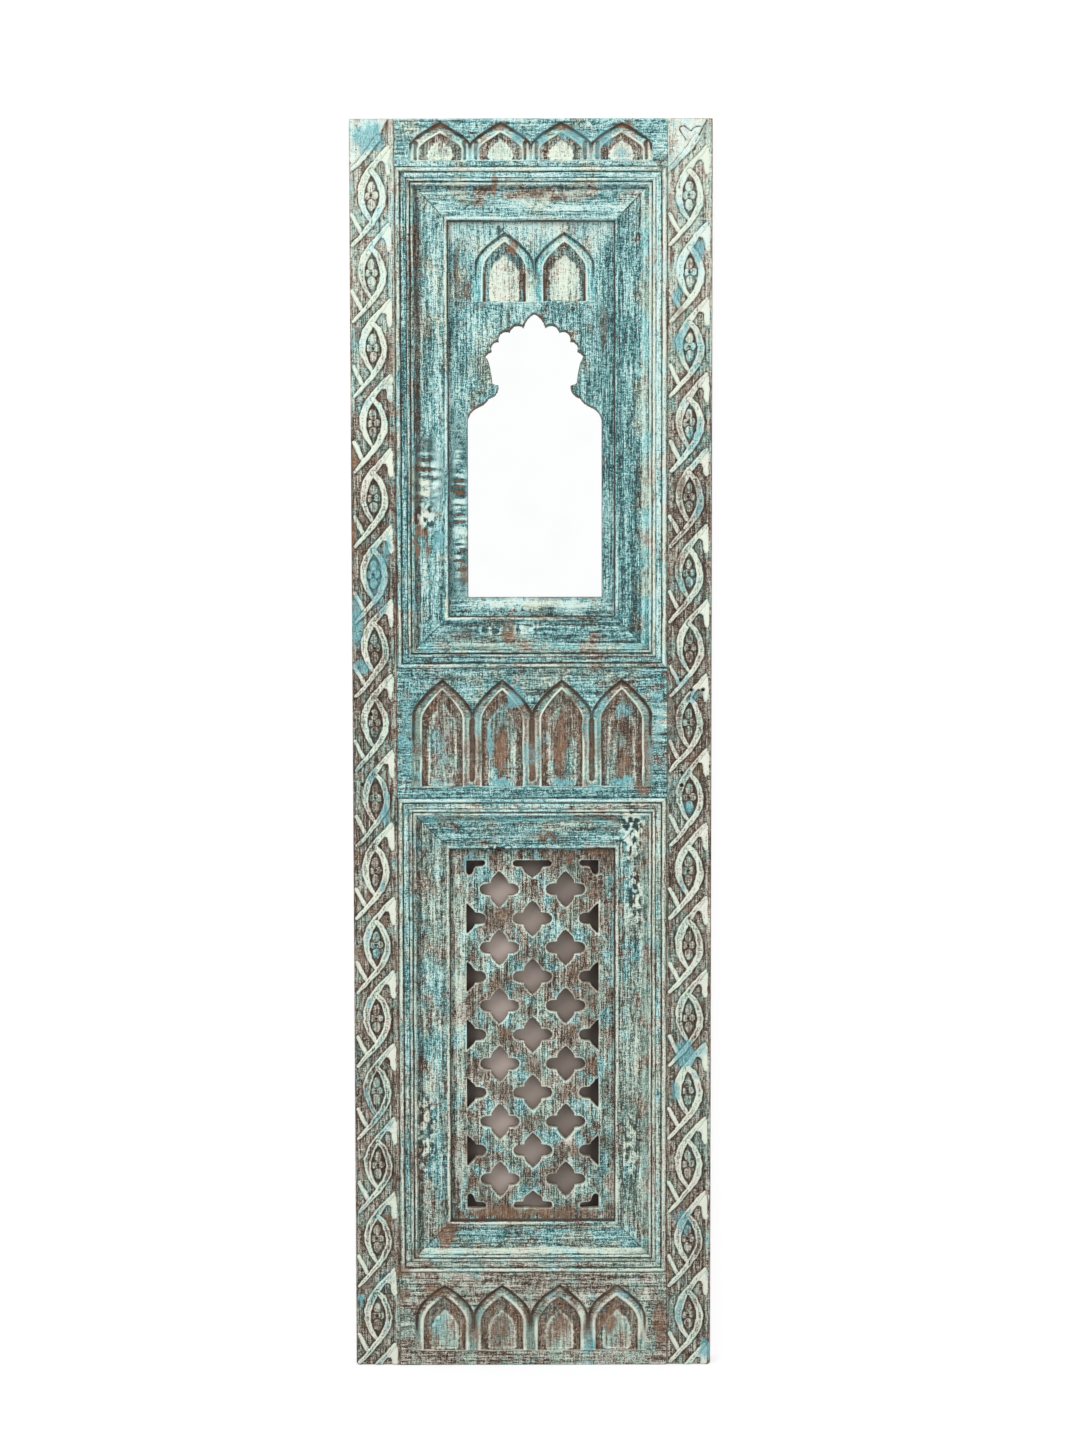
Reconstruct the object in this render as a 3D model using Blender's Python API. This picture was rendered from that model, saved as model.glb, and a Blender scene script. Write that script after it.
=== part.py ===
"""A tall wall mirror built into an old carved and painted door panel.

The frame stands in the XZ plane with its carved front towards -Y and its height
along +Z. The origin is midway between the two wall hooks that the mirror hangs
from, on the plane of the frame's flat back, so the floor edge is below the origin.
"""
import math

import bmesh
import bpy
from mathutils import Matrix, Vector

# Driving dimensions in metres
overall_height = 1.830
overall_width = 0.526
frame_thickness = 0.045
stile_width = 0.0656
top_rail_height = 0.0685
middle_rail_height = 0.190
middle_rail_bottom_share = 0.4623
bottom_rail_height = 0.139
gap = 0.0003

# Joints of the frame
groove_depth = 0.008
tenon_length = 0.058
tenon_thickness = 0.011
tenon_shoulder = 0.012
joint_bite = 0.002

# Boards, glass and what holds them, from front to back
board_thickness = 0.016
glass_thickness = 0.004
padding_thickness = 0.0034
back_board_thickness = 0.004
back_board_lap = 0.022
glass_lap = 0.020
glass_stop_width = 0.018

# Mouldings planted round both openings
moulding_width = 0.0765
moulding_height = 0.022
bead_steps = 4

# Vine carved on the stiles: shares of the stile, the overall height, the carved width
# and the distance from one eye to the next
carved_share = 0.869
carving_depth = 0.0035
carving_slope = 0.0009
carving_bite = 0.0008
vine_centre_share = 0.561
vine_top_share = 0.0604
vine_bottom_share = 0.0454
vine_end_share = 0.0022
strand_width_share = 0.137
strand_step = 0.0004
strand_end_share = 0.6
least_side = 0.0005
eye_count = 16
flower_width_share = 0.298
flower_height_share = 0.257
flower_rise = 0.0022
petal_share = 1.2
notch_share = 0.6

# Arcades: shares of the width that they stand in, and base, height and pointed rise
# as shares of the rail's or the field's height
arch_steps = 4
arch_fullness = 1.85
arcade_relief = 0.0012
pocket_depth = 0.0035
niche_relief = 0.0022
pocket_drop_share = 0.33
field_drop_share = 0.69
column_share = 0.246
punched_band_share = 0.100
niche_foot = 0.0016
rail_arch_share = 0.2216
board_arch_share = 0.3618
top_arcade = (0.117, 0.832, 0.482)
middle_arcade = (0.0947, 0.8105, 0.216)
bottom_arcade = (0.187, 0.662, 0.295)
board_arcade = (0.7878, 0.178, 0.0664)
flute_width_share = 0.35
flute_height_share = 0.41
flute_foot_share = 0.168
flute_depth = 0.0016

# Cusped arch and pierced screen: shares of the field inside the mouldings
arch_width_share = 0.8065
arch_height_share = 0.7162
sill_share = 0.0367
screen_width_share = 0.8106
screen_height_share = 0.9404
screen_foot_share = 0.028
screen_columns = 4
screen_rows = 12

# Holes of the screen: shares of the distance between columns, then between rows
diamond_width_share = 0.545
slot_length_share = 0.612
diamond_height_share = 0.634
slot_radius_share = 0.168
slot_steps = 4

# Hardware
nail_radius = 0.0022
nail_length = 0.030
nail_depth = 0.0045
nail_taper_share = 0.6
nail_point_share = 0.2
screw_head_radius = 0.0036
screw_head_height = 0.0018
screw_shank_radius = 0.0016
screw_length = 0.016
screw_crown_share = 0.6
screw_point_share = 0.4
screw_edge = 0.008
screw_end = 0.070
hook_drop = 0.260
hanger_inset = 0.0255
strap_width = 0.018
strap_length = 0.054
strap_screw_shares = (0.52, 0.85)
strap_thickness = 0.0012
ring_wire_radius = 0.0015
ring_half_width = 0.0125
ring_leg = 0.006
ring_steps = 10
bar_clearance = 0.00035
curl_turn = math.radians(265)
bumper_radius = 0.009
bumper_thickness = 0.007
bumper_height = 0.060
round_sides = 8
bumper_sides = 16

# How far a cutter runs past the face it cuts, and the least spread of a mitred corner
over_cut = 0.002
least_spread = 0.5
crease_angle = math.radians(40)

# Levels worked out from the sizes above, all measured from the back of the frame
face_y = -frame_thickness
rail_face_y = face_y + arcade_relief
ground_y = face_y + carving_depth
glass_back_y = -padding_thickness - 2 * gap
glass_front_y = glass_back_y - glass_thickness
board_back_y = glass_front_y - gap
board_front_y = board_back_y - board_thickness
groove_back_y = board_back_y + gap
groove_front_y = board_front_y - gap
moulding_back_y = board_front_y - gap
tenon_front_y = board_front_y + gap
tenon_back_y = tenon_front_y + tenon_thickness
hanger_axis_y = gap + strap_thickness + bar_clearance + ring_wire_radius

# Places worked out from the sizes above, all measured from the floor edge
opening_width = overall_width - 2 * stile_width
top_rail_bottom = overall_height - top_rail_height
middle_rail_bottom = overall_height * middle_rail_bottom_share
middle_rail_top = middle_rail_bottom + middle_rail_height
upper_opening = (middle_rail_top, top_rail_bottom)
lower_opening = (bottom_rail_height, middle_rail_bottom)
hook_height = overall_height - hook_drop
field_width = opening_width - 2 * moulding_width
upper_field_height = top_rail_bottom - middle_rail_top - 2 * moulding_width
lower_field_height = middle_rail_bottom - bottom_rail_height - 2 * moulding_width

# Sizes of the carving worked out from the frame
carved_width = stile_width * carved_share
vine_centre = carved_width * vine_centre_share
eye_pitch = overall_height * (1 - vine_top_share - vine_bottom_share) / (eye_count - 1)
strand_width = carved_width * strand_width_share
rail_arch_pitch = opening_width * rail_arch_share
board_arch_pitch = field_width * board_arch_share
arch_width = field_width * arch_width_share
arch_height = upper_field_height * arch_height_share
sill_height = moulding_width + upper_field_height * sill_share
screen_width = field_width * screen_width_share
screen_height = lower_field_height * screen_height_share
screen_foot = moulding_width + lower_field_height * screen_foot_share
column_step = screen_width / screen_columns
row_step = screen_height / screen_rows
left_side = -1
right_side = 1

# Outline of a moulding: how far in from its outer edge, and how high off its back
bead_shares = (
    (0.015, 0.085, 0.88, 0.12),
    (0.112, 0.208, 0.87, 0.05),
    (0.224, 0.272, 0.86, 0.08),
    (0.300, 0.350, 0.80, 0.12),
)
slope_shares = (
    (0.360, 0.78),
    (0.410, 0.72),
    (0.470, 0.70),
    (0.835, 0.52),
    (0.845, 0.48),
    (0.858, 0.52),
    (0.922, 0.52),
    (0.932, 0.58),
)
lip_share = (0.935, 0.990, 0.58, 0.05)

# Routes of the two strands round one eye, from the eye's centre: across as a share of
# the carved width, up as a share of the distance between eyes
left_strand = (
    (0.404, 0.614),
    (-0.070, 0.330),
    (-0.316, 0.128),
    (-0.333, 0.009),
    (-0.175, -0.165),
    (0.035, -0.330),
)
right_strand = (
    (0.035, 0.330),
    (0.263, 0.147),
    (0.351, 0.009),
    (0.246, -0.183),
    (-0.070, -0.422),
    (-0.421, -0.642),
)
inner_leaf = ((0.412, 0.605), (0.254, 0.403), (0.412, 0.275))
outer_leaf = ((-0.518, -0.037), (-0.518, -0.477), (-0.412, -0.367), (-0.430, -0.147))

# Right half of the cusped arch: corner points as shares of the half width and the
# height, each with how far its arc stands out as a share of the half width
arch_corners = (
    (0.160, 0.952, 0.025, 3),
    (0.366, 0.940, 0.072, 4),
    (0.533, 0.906, 0.072, 4),
    (0.632, 0.869, 0.056, 4),
    (0.731, 0.848, 0.015, 2),
    (0.617, 0.746, -0.025, 4),
    (0.535, 0.739, 0.010, 2),
    (0.746, 0.684, -0.030, 4),
    (1.000, 0.622, 0.045, 4),
)

# Iron nails through the joints of the middle rail: side, how far from the opening as a
# share of the tenon, and how high as a share of the rail
joint_nails = (
    (left_side, 0.672, 0.647),
    (left_side, 0.897, 0.105),
    (right_side, 0.345, 0.910),
    (right_side, 0.620, 0.832),
    (right_side, 0.914, 0.832),
    (right_side, 0.380, 0.190),
    (right_side, 0.380, 0.095),
)


def clear_scene():
    for thing in list(bpy.data.objects):
        bpy.data.objects.remove(thing, do_unlink=True)


def material(name, colour, roughness, metallic=0.0):
    """A plain surface with the colour, roughness and metal share of the real piece."""
    surface = bpy.data.materials.new(name)
    surface.use_nodes = True
    shader = surface.node_tree.nodes["Principled BSDF"]
    shader.inputs["Base Color"].default_value = (*colour, 1.0)
    shader.inputs["Roughness"].default_value = roughness
    shader.inputs["Metallic"].default_value = metallic
    return surface


def empty(name, place, parent=None):
    guide = bpy.data.objects.new(name, None)
    guide.location = place
    guide.parent = parent
    bpy.context.scene.collection.objects.link(guide)
    return guide


def piece(name, mesh, surface, place, parent):
    """Turns a finished bmesh into a named object of its own."""
    bmesh.ops.recalc_face_normals(mesh, faces=mesh.faces[:])
    data = bpy.data.meshes.new(name)
    mesh.to_mesh(data)
    mesh.free()
    data.materials.append(surface)
    thing = bpy.data.objects.new(name, data)
    thing.location = place
    thing.parent = parent
    bpy.context.scene.collection.objects.link(thing)
    return thing


def helper(name, mesh, surface, place, parent):
    """A hidden solid that only shapes other pieces."""
    thing = piece(name, mesh, surface, place, parent)
    thing.hide_render = True
    thing.display_type = "WIRE"
    return thing


def shape_with(target, tool, operation):
    change = target.modifiers.new(tool.name, "BOOLEAN")
    change.operation = operation
    change.solver = "EXACT"
    change.object = tool


def shade_round(thing):
    thing.data.shade_smooth()
    thing.data.set_sharp_from_angle(angle=crease_angle)


def turned_outline(outline):
    """The outline, counterclockwise as seen from the front."""
    following = outline[1:] + outline[:1]
    area = sum(a[0] * b[1] - b[0] * a[1] for a, b in zip(outline, following))
    return outline if area > 0 else outline[::-1]


def drawn_in(outline, distance):
    """Moves every side of a counterclockwise outline inwards by the same distance."""
    moved = []
    count = len(outline)
    for index in range(count):
        before = Vector(outline[index - 1])
        here = Vector(outline[index])
        after = Vector(outline[(index + 1) % count])
        first = (here - before).normalized()
        second = (after - here).normalized()
        first_in = Vector((-first.y, first.x))
        second_in = Vector((-second.y, second.x))
        spread = max(1 + first_in.dot(second_in), least_spread)
        moved.append(tuple(here + (first_in + second_in) * (distance / spread)))
    return moved


def add_prism(mesh, outline, front, back, slope=0.0):
    """One closed form from an outline in the XZ plane; its front is drawn in by slope."""
    outline = turned_outline(list(outline))
    near = [mesh.verts.new((x, front, z)) for x, z in drawn_in(outline, slope)]
    far = [mesh.verts.new((x, back, z)) for x, z in outline]
    mesh.faces.new(near)
    mesh.faces.new(far[::-1])
    count = len(outline)
    for index in range(count):
        following = (index + 1) % count
        mesh.faces.new((near[index], far[index], far[following], near[following]))


def add_box(mesh, low, high):
    size = Vector(high) - Vector(low)
    centre = (Vector(high) + Vector(low)) / 2
    bmesh.ops.create_cube(mesh, size=1.0, matrix=Matrix.LocRotScale(centre, None, size))


def add_turned(mesh, profile, place, sides):
    """A solid turned about the Y axis from points of radius and distance along Y."""
    rings = []
    for radius, along in profile:
        ring = []
        for side in range(sides):
            angle = 2 * math.pi * (side + 0.5) / sides
            across = radius * math.cos(angle)
            up = radius * math.sin(angle)
            ring.append(mesh.verts.new((place[0] + across, place[1] + along, place[2] + up)))
        rings.append(ring)
    mesh.faces.new(rings[0])
    mesh.faces.new(rings[-1][::-1])
    for ring, following_ring in zip(rings, rings[1:]):
        for side in range(sides):
            after = (side + 1) % sides
            mesh.faces.new((ring[side], ring[after], following_ring[after], following_ring[side]))


def extruded(section, vector):
    """A bar: a closed section swept along a straight line."""
    mesh = bmesh.new()
    start = mesh.faces.new([mesh.verts.new(point) for point in section])
    swept = bmesh.ops.extrude_face_region(mesh, geom=[start])
    moved = [item for item in swept["geom"] if isinstance(item, bmesh.types.BMVert)]
    bmesh.ops.translate(mesh, verts=moved, vec=vector)
    return mesh


def rectangle(left, right, bottom, top):
    return [(left, bottom), (right, bottom), (right, top), (left, top)]


def clipped(outline, box):
    """The part of an outline inside a rectangle of left, right, bottom and top."""
    limits = ((0, box[0], 1), (0, box[1], -1), (1, box[2], 1), (1, box[3], -1))
    for axis, limit, sense in limits:
        kept = []
        for index, here in enumerate(outline):
            before = outline[index - 1]
            inside = (here[axis] - limit) * sense >= 0
            was_inside = (before[axis] - limit) * sense >= 0
            if inside != was_inside:
                share = (limit - before[axis]) / (here[axis] - before[axis])
                kept.append(tuple(Vector(before).lerp(Vector(here), share)))
            if inside:
                kept.append(tuple(here))
        outline = kept
    apart = []
    for index, here in enumerate(outline):
        if (Vector(here) - Vector(outline[index - 1])).length > least_side:
            apart.append(here)
    return apart


def arc(start, end, sagitta, steps):
    """Points along an arc after its start, standing out to the left of its way."""
    start = Vector(start)
    end = Vector(end)
    chord = end - start
    normal = Vector((-chord.y, chord.x)).normalized()
    middle = (start + end) / 2
    radius = (chord.length_squared / 4 + sagitta ** 2) / (2 * sagitta)
    centre = middle + normal * (sagitta - radius)
    spoke = start - centre
    turn = -2 * math.asin(chord.length / (2 * radius))
    points = []
    for step in range(1, steps + 1):
        angle = turn * step / steps
        across = spoke.x * math.cos(angle) - spoke.y * math.sin(angle)
        up = spoke.x * math.sin(angle) + spoke.y * math.cos(angle)
        points.append((centre.x + across, centre.y + up))
    return points


def band(route, width):
    """The outline of a strand along a route, narrower at its two ends."""
    points = [Vector(point) for point in route]
    left_edge = []
    right_edge = []
    last = len(points) - 1
    for index, here in enumerate(points):
        way = (points[min(index + 1, last)] - points[max(index - 1, 0)]).normalized()
        across = Vector((-way.y, way.x))
        half = width * (strand_end_share if index in (0, last) else 1.0) / 2
        left_edge.append(tuple(here + across * half))
        right_edge.append(tuple(here - across * half))
    return right_edge + left_edge[::-1]


def pointed_arch(centre, base, half_width, height, rise):
    """A niche outline with straight sides and a pointed head."""
    right_half = []
    for step in range(arch_steps):
        share = step / arch_steps
        across = half_width * (1 - share ** arch_fullness)
        right_half.append((centre + across, base + height - rise + rise * share))
    tip = [(centre, base + height)]
    left_half = [(2 * centre - x, z) for x, z in right_half[::-1]]
    foot = [(centre - half_width, base), (centre + half_width, base)]
    return foot + right_half + tip + left_half


def arcade_outline(pitch, base, arches, height, rise):
    """The outline round a row of pointed arches that meet in valleys."""
    half = pitch / 2
    heads = []
    for index in range(arches):
        middle = pitch * ((arches - 1) / 2 - index)
        head = pointed_arch(middle, base, half, height, rise)[2:]
        heads += head if index == 0 else head[1:]
    return [(-half * arches, base), (half * arches, base)] + heads


def carve_arcade(target, pitch, arches, shares, span, face, surface):
    """Raises an arcade off a face, sinks its niches and leaves a field in each."""
    foot, within = span
    base = foot + within * shares[0]
    height = within * shares[1]
    rise = within * shares[2]
    crest = face - arcade_relief
    floor = crest + pocket_depth
    body = bmesh.new()
    add_prism(
        body,
        arcade_outline(pitch, base, arches, height, rise),
        crest,
        face + carving_bite,
        carving_slope,
    )
    sinks = bmesh.new()
    fields = bmesh.new()
    half_pocket = pitch * (1 - column_share) / 2
    half_field = half_pocket - pitch * punched_band_share
    pocket_height = height - niche_foot - rise * pocket_drop_share
    pocket_rise = rise * half_pocket * 2 / pitch
    field_height = height - 2 * niche_foot - rise * field_drop_share
    field_rise = rise * half_field * 2 / pitch
    for index in range(arches):
        middle = pitch * (index - (arches - 1) / 2)
        low = base + niche_foot
        pocket = pointed_arch(middle, low, half_pocket, pocket_height, pocket_rise)
        add_prism(sinks, pocket, crest - over_cut, floor)
        low = base + 2 * niche_foot
        field = pointed_arch(middle, low, half_field, field_height, field_rise)
        add_prism(fields, field, floor - niche_relief, floor + carving_bite, carving_slope)
    changes = (("arcade", body, "UNION"), ("pockets", sinks, "DIFFERENCE"), ("fields", fields, "UNION"))
    for word, mesh, operation in changes:
        tool = helper(f"{target.name}_{word}", mesh, surface, target.location, target.parent)
        shape_with(target, tool, operation)


def on_vine(outline, centre):
    """Shares about an eye's centre, as places on the stile."""
    return [(vine_centre + x * carved_width, centre + z * eye_pitch) for x, z in outline]


def vine_strands(route, leaf, front, with_flowers):
    """One set of raised strands, leaves and flowers that don't touch each other."""
    mesh = bmesh.new()
    bottom = overall_height * vine_end_share
    box = (carving_slope, carved_width - carving_slope, bottom, overall_height - bottom)
    back = ground_y + carving_bite
    for index in range(-1, eye_count + 1):
        centre = overall_height * (1 - vine_top_share) - eye_pitch * index
        for outline in (band(on_vine(route, centre), strand_width), on_vine(leaf, centre)):
            inside = clipped(outline, box)
            if len(inside) > 2:
                add_prism(mesh, inside, front, back, carving_slope)
        if with_flowers and 0 <= index < eye_count:
            flower = on_vine(flower_outline(), centre)
            add_prism(mesh, flower, ground_y - flower_rise, back, carving_slope)
    return mesh


def flower_outline():
    """Four petals on the diagonals, longer up and down than across."""
    outline = []
    for step in range(8):
        angle = math.pi * step / 4
        reach = (petal_share if step % 2 else notch_share) / 2
        across = reach * flower_width_share * math.cos(angle)
        up = reach * flower_height_share * math.sin(angle)
        outline.append((across, up))
    return outline


def stile(name, side, surface, parent):
    """A full-height post, grooved for the boards and mortised for the rails."""
    inner = stile_width if side == left_side else 0.0
    outer = stile_width - inner
    step_in = inner + side * groove_depth
    front = [(0.0, ground_y), (carved_width, ground_y), (carved_width, face_y)]
    front.append((stile_width, face_y))
    if side == left_side:
        edge = [(inner, groove_front_y), (step_in, groove_front_y)]
        edge += [(step_in, groove_back_y), (inner, groove_back_y)]
        section = front + edge + [(inner, 0.0), (outer, 0.0)]
    else:
        edge = [(inner, groove_back_y), (step_in, groove_back_y)]
        edge += [(step_in, groove_front_y), (inner, groove_front_y)]
        section = front + [(outer, 0.0), (inner, 0.0)] + edge
    mesh = extruded([(x, y, 0.0) for x, y in section], (0.0, 0.0, overall_height))
    left_edge = -overall_width / 2 if side == left_side else overall_width / 2 - stile_width
    post = piece(name, mesh, surface, (left_edge, 0.0, 0.0), parent)
    first = vine_strands(left_strand, outer_leaf, face_y, True)
    second = vine_strands(right_strand, inner_leaf, face_y + strand_step, False)
    for tool, strands in (("left_strands", first), ("right_strands", second)):
        shape_with(post, helper(f"{name}_{tool}", strands, surface, post.location, parent), "UNION")
    mortises = bmesh.new()
    for bottom, height in rail_places():
        low_z, high_z = tenon_span(bottom, height)
        deep = inner + side * (tenon_length + gap)
        past = inner - side * over_cut
        low = (min(deep, past), tenon_front_y - gap, low_z - gap)
        high = (max(deep, past), tenon_back_y + gap, high_z + gap)
        add_box(mortises, low, high)
    shape_with(post, helper(f"{name}_mortises", mortises, surface, post.location, parent), "DIFFERENCE")
    return post


def rail_places():
    """Lower edge and height of the three rails, from the top down."""
    return (
        (top_rail_bottom, top_rail_height),
        (middle_rail_bottom, middle_rail_height),
        (0.0, bottom_rail_height),
    )


def tenon_span(bottom, height):
    return bottom + tenon_shoulder, bottom + height - tenon_shoulder


def rail(name, bottom, height, grooves, surface, parent):
    """A cross rail with a tenon at each end and a groove along each board edge."""
    section = [(rail_face_y, 0.0), (0.0, 0.0), (0.0, height), (rail_face_y, height)]
    if "below" in grooves:
        cut = [(groove_front_y, 0.0), (groove_front_y, groove_depth)]
        cut += [(groove_back_y, groove_depth), (groove_back_y, 0.0)]
        section[1:1] = cut
    if "above" in grooves:
        cut = [(groove_back_y, height), (groove_back_y, height - groove_depth)]
        cut += [(groove_front_y, height - groove_depth), (groove_front_y, height)]
        section[-1:-1] = cut
    half = opening_width / 2 - gap
    mesh = extruded([(-half, y, z) for y, z in section], (2 * half, 0.0, 0.0))
    bar = piece(name, mesh, surface, (0.0, 0.0, bottom), parent)
    tenons = bmesh.new()
    low_z, high_z = tenon_span(0.0, height)
    for side in (left_side, right_side):
        root = side * (half - joint_bite)
        tip = side * (opening_width / 2 + tenon_length)
        add_box(
            tenons,
            (min(root, tip), tenon_front_y, low_z),
            (max(root, tip), tenon_back_y, high_z),
        )
    shape_with(bar, helper(f"{name}_tenons", tenons, surface, bar.location, parent), "UNION")
    return bar


def moulding_section():
    """Points of the moulding, in from its outer edge and up from its back."""
    points = [(0.0, 0.0), (0.0, bead_shares[0][2])]
    for share in bead_shares + (None,) + (lip_share,):
        if share is None:
            points += slope_shares
            continue
        start, end, base, rise = share
        for step in range(bead_steps + 1):
            along = step / bead_steps
            points.append((start + (end - start) * along, base + rise * math.sin(math.pi * along)))
    points += [(1.0, lip_share[2] - lip_share[3]), (1.0, 0.0)]
    return [(across * moulding_width, up * moulding_height) for across, up in points]


def moulding(name, length, turn, place, surface, parent):
    """One strip with mitred ends, its outer edge on the local X axis."""
    mesh = bmesh.new()
    ends = []
    for side in (left_side, right_side):
        end = []
        for across, up in moulding_section():
            reach = length / 2 - gap - across - gap
            end.append(mesh.verts.new((side * reach, -up, across + gap)))
        ends.append(end)
    left_end, right_end = ends
    mesh.faces.new(left_end)
    mesh.faces.new(right_end[::-1])
    count = len(left_end)
    for index in range(count):
        after = (index + 1) % count
        mesh.faces.new((left_end[index], right_end[index], right_end[after], left_end[after]))
    strip = piece(name, mesh, surface, place, parent)
    strip.rotation_euler = (0.0, turn, 0.0)
    return strip


def moulding_frame(name, opening, surface, parent):
    """Four mitred strips round one opening."""
    bottom, top = opening
    height = top - bottom
    middle = (bottom + top) / 2
    half = opening_width / 2
    quarter_turn = math.pi / 2
    sides = (
        ("bottom", opening_width, 0.0, (0.0, moulding_back_y, bottom)),
        ("top", opening_width, 2 * quarter_turn, (0.0, moulding_back_y, top)),
        ("left", height, quarter_turn, (-half, moulding_back_y, middle)),
        ("right", height, -quarter_turn, (half, moulding_back_y, middle)),
    )
    for side, length, turn, place in sides:
        moulding(f"{name}_moulding_{side}", length, turn, place, surface, parent)


def board(name, opening, surface, parent):
    """A flat board held in the grooves, its lower edge on the local origin."""
    bottom, top = opening
    reach = groove_depth - gap
    half = opening_width / 2 + reach
    mesh = bmesh.new()
    add_box(mesh, (-half, board_front_y, -reach), (half, board_back_y, top - bottom + reach))
    return piece(name, mesh, surface, (0.0, 0.0, bottom), parent)


def cusped_arch():
    """The through opening, clockwise from its tip and back round its foot."""
    half = arch_width / 2
    sill = sill_height
    tip = (0.0, sill + arch_height)
    right_half = []
    here = tip
    for across, up, bulge, steps in arch_corners:
        there = (across * half, sill + up * arch_height)
        right_half += arc(here, there, bulge * half, steps)
        here = there
    left_half = [(-x, z) for x, z in right_half[::-1]]
    return [tip] + right_half + [(half, sill), (-half, sill)] + left_half


def upper_panel(surface, parent):
    panel = board("upper_panel", upper_opening, surface, parent)
    hole = bmesh.new()
    add_prism(hole, cusped_arch(), board_front_y - over_cut, board_back_y + over_cut)
    cutter = helper("arch_cutter", hole, surface, panel.location, parent)
    shape_with(panel, cutter, "DIFFERENCE")
    span = (moulding_width, upper_field_height)
    carve_arcade(panel, board_arch_pitch, 2, board_arcade, span, board_front_y, surface)
    return panel


def screen_hole(centre_x, centre_z):
    """A diamond crossed by a slot with round ends."""
    half_width = column_step * diamond_width_share
    half_height = row_step * diamond_height_share
    slot_radius = row_step * slot_radius_share
    shoulder = half_width * (1 - slot_radius / half_height)
    straight = column_step * slot_length_share - slot_radius
    right_half = []
    for step in range(slot_steps + 1):
        angle = math.pi * (step / slot_steps - 0.5)
        right_half.append((straight + slot_radius * math.cos(angle), slot_radius * math.sin(angle)))
    right_half.append((shoulder, slot_radius))
    lower = [(0.0, -half_height), (shoulder, -slot_radius)]
    left_half = [(-x, -z) for x, z in right_half]
    upper = [(0.0, half_height)]
    outline = lower + right_half + upper + [(-shoulder, slot_radius)] + left_half[:-1]
    outline.append((-shoulder, -slot_radius))
    return [(centre_x + x, centre_z + z) for x, z in outline]


def jali_panel(surface, parent):
    """The pierced screen: whole holes inside and cut ones along its edges."""
    panel = board("jali_panel", lower_opening, surface, parent)
    box = (-screen_width / 2, screen_width / 2, screen_foot, screen_foot + screen_height)
    holes = bmesh.new()
    for row in range(screen_rows + 1):
        for column in range(screen_columns + 1):
            if (row + column) % 2 == 0:
                hole = screen_hole(box[0] + column_step * column, screen_foot + row_step * row)
                outline = clipped(hole, box)
                add_prism(holes, outline, board_front_y - over_cut, board_back_y + over_cut)
    shape_with(panel, helper("screen_cutter", holes, surface, panel.location, parent), "DIFFERENCE")
    return panel


def slab(name, box, front, back, surface, parent):
    """A flat sheet or strip of left, right, bottom and top, centred on its origin."""
    left, right, bottom, top = box
    centre = Vector(((left + right) / 2, (front + back) / 2, (bottom + top) / 2))
    half = Vector((right - left, back - front, top - bottom)) / 2
    mesh = bmesh.new()
    add_box(mesh, -half, half)
    return piece(name, mesh, surface, centre, parent)


def mirror_parts(surfaces, parent):
    """The glass behind the arch, its padding and the four stops round it."""
    sill = upper_opening[0] + sill_height
    half = arch_width / 2 + glass_lap
    bottom = sill - glass_lap
    top = sill + arch_height + glass_lap
    box = (-half, half, bottom, top)
    slab("mirror_glass", box, glass_front_y, glass_back_y, surfaces["mirror"], parent)
    slab("mirror_padding", box, -padding_thickness - gap, -gap, surfaces["padding"], parent)
    inside = half + gap
    outside = inside + glass_stop_width
    below = bottom - gap
    above = top + gap
    stops = (
        ("left", (-outside, -inside, below, above)),
        ("right", (inside, outside, below, above)),
        ("bottom", (-outside, outside, below - gap - glass_stop_width, below - gap)),
        ("top", (-outside, outside, above + gap, above + gap + glass_stop_width)),
    )
    for side, stop_box in stops:
        slab(f"glass_stop_{side}", stop_box, glass_front_y, -gap, surfaces["raw_wood"], parent)


def screw_profile():
    """Head and shank, from the top of the head to the point."""
    return (
        (screw_head_radius * screw_crown_share, screw_head_height),
        (screw_head_radius, 0.0),
        (screw_shank_radius, 0.0),
        (screw_shank_radius * screw_point_share, -screw_length),
    )


def screw(name, place, surface, parent):
    mesh = bmesh.new()
    add_turned(mesh, screw_profile(), (0.0, 0.0, 0.0), round_sides)
    shade_round(piece(name, mesh, surface, place, parent))


def add_screw_hole(mesh, place):
    radius = screw_shank_radius + gap
    depth = screw_length + gap + over_cut
    profile = ((radius, over_cut), (radius, -depth))
    add_turned(mesh, profile, place, round_sides)


def back_board(name, opening, surfaces, targets, parent):
    """A thin sheet over the back of an opening, screwed to both stiles."""
    bottom, top = opening
    half = opening_width / 2 + back_board_lap
    box = (-half, half, bottom - back_board_lap, top + back_board_lap)
    back = gap + back_board_thickness
    sheet = slab(name, box, gap, back, surfaces["plywood"], parent)
    rows = (("low", bottom + screw_end), ("middle", (bottom + top) / 2), ("high", top - screw_end))
    columns = (("left", -half + screw_edge), ("right", half - screw_edge))
    holes = bmesh.new()
    for row, height in rows:
        for column, across in columns:
            seat = (across, back + gap, height)
            screw(f"{name}_screw_{row}_{column}", seat, surfaces["zinc"], parent)
            add_screw_hole(holes, seat)
    cutter = helper(f"{name}_screw_holes", holes, surfaces["plywood"], (0.0, 0.0, 0.0), parent)
    for target in (sheet, *targets):
        shape_with(target, cutter, "DIFFERENCE")


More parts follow.
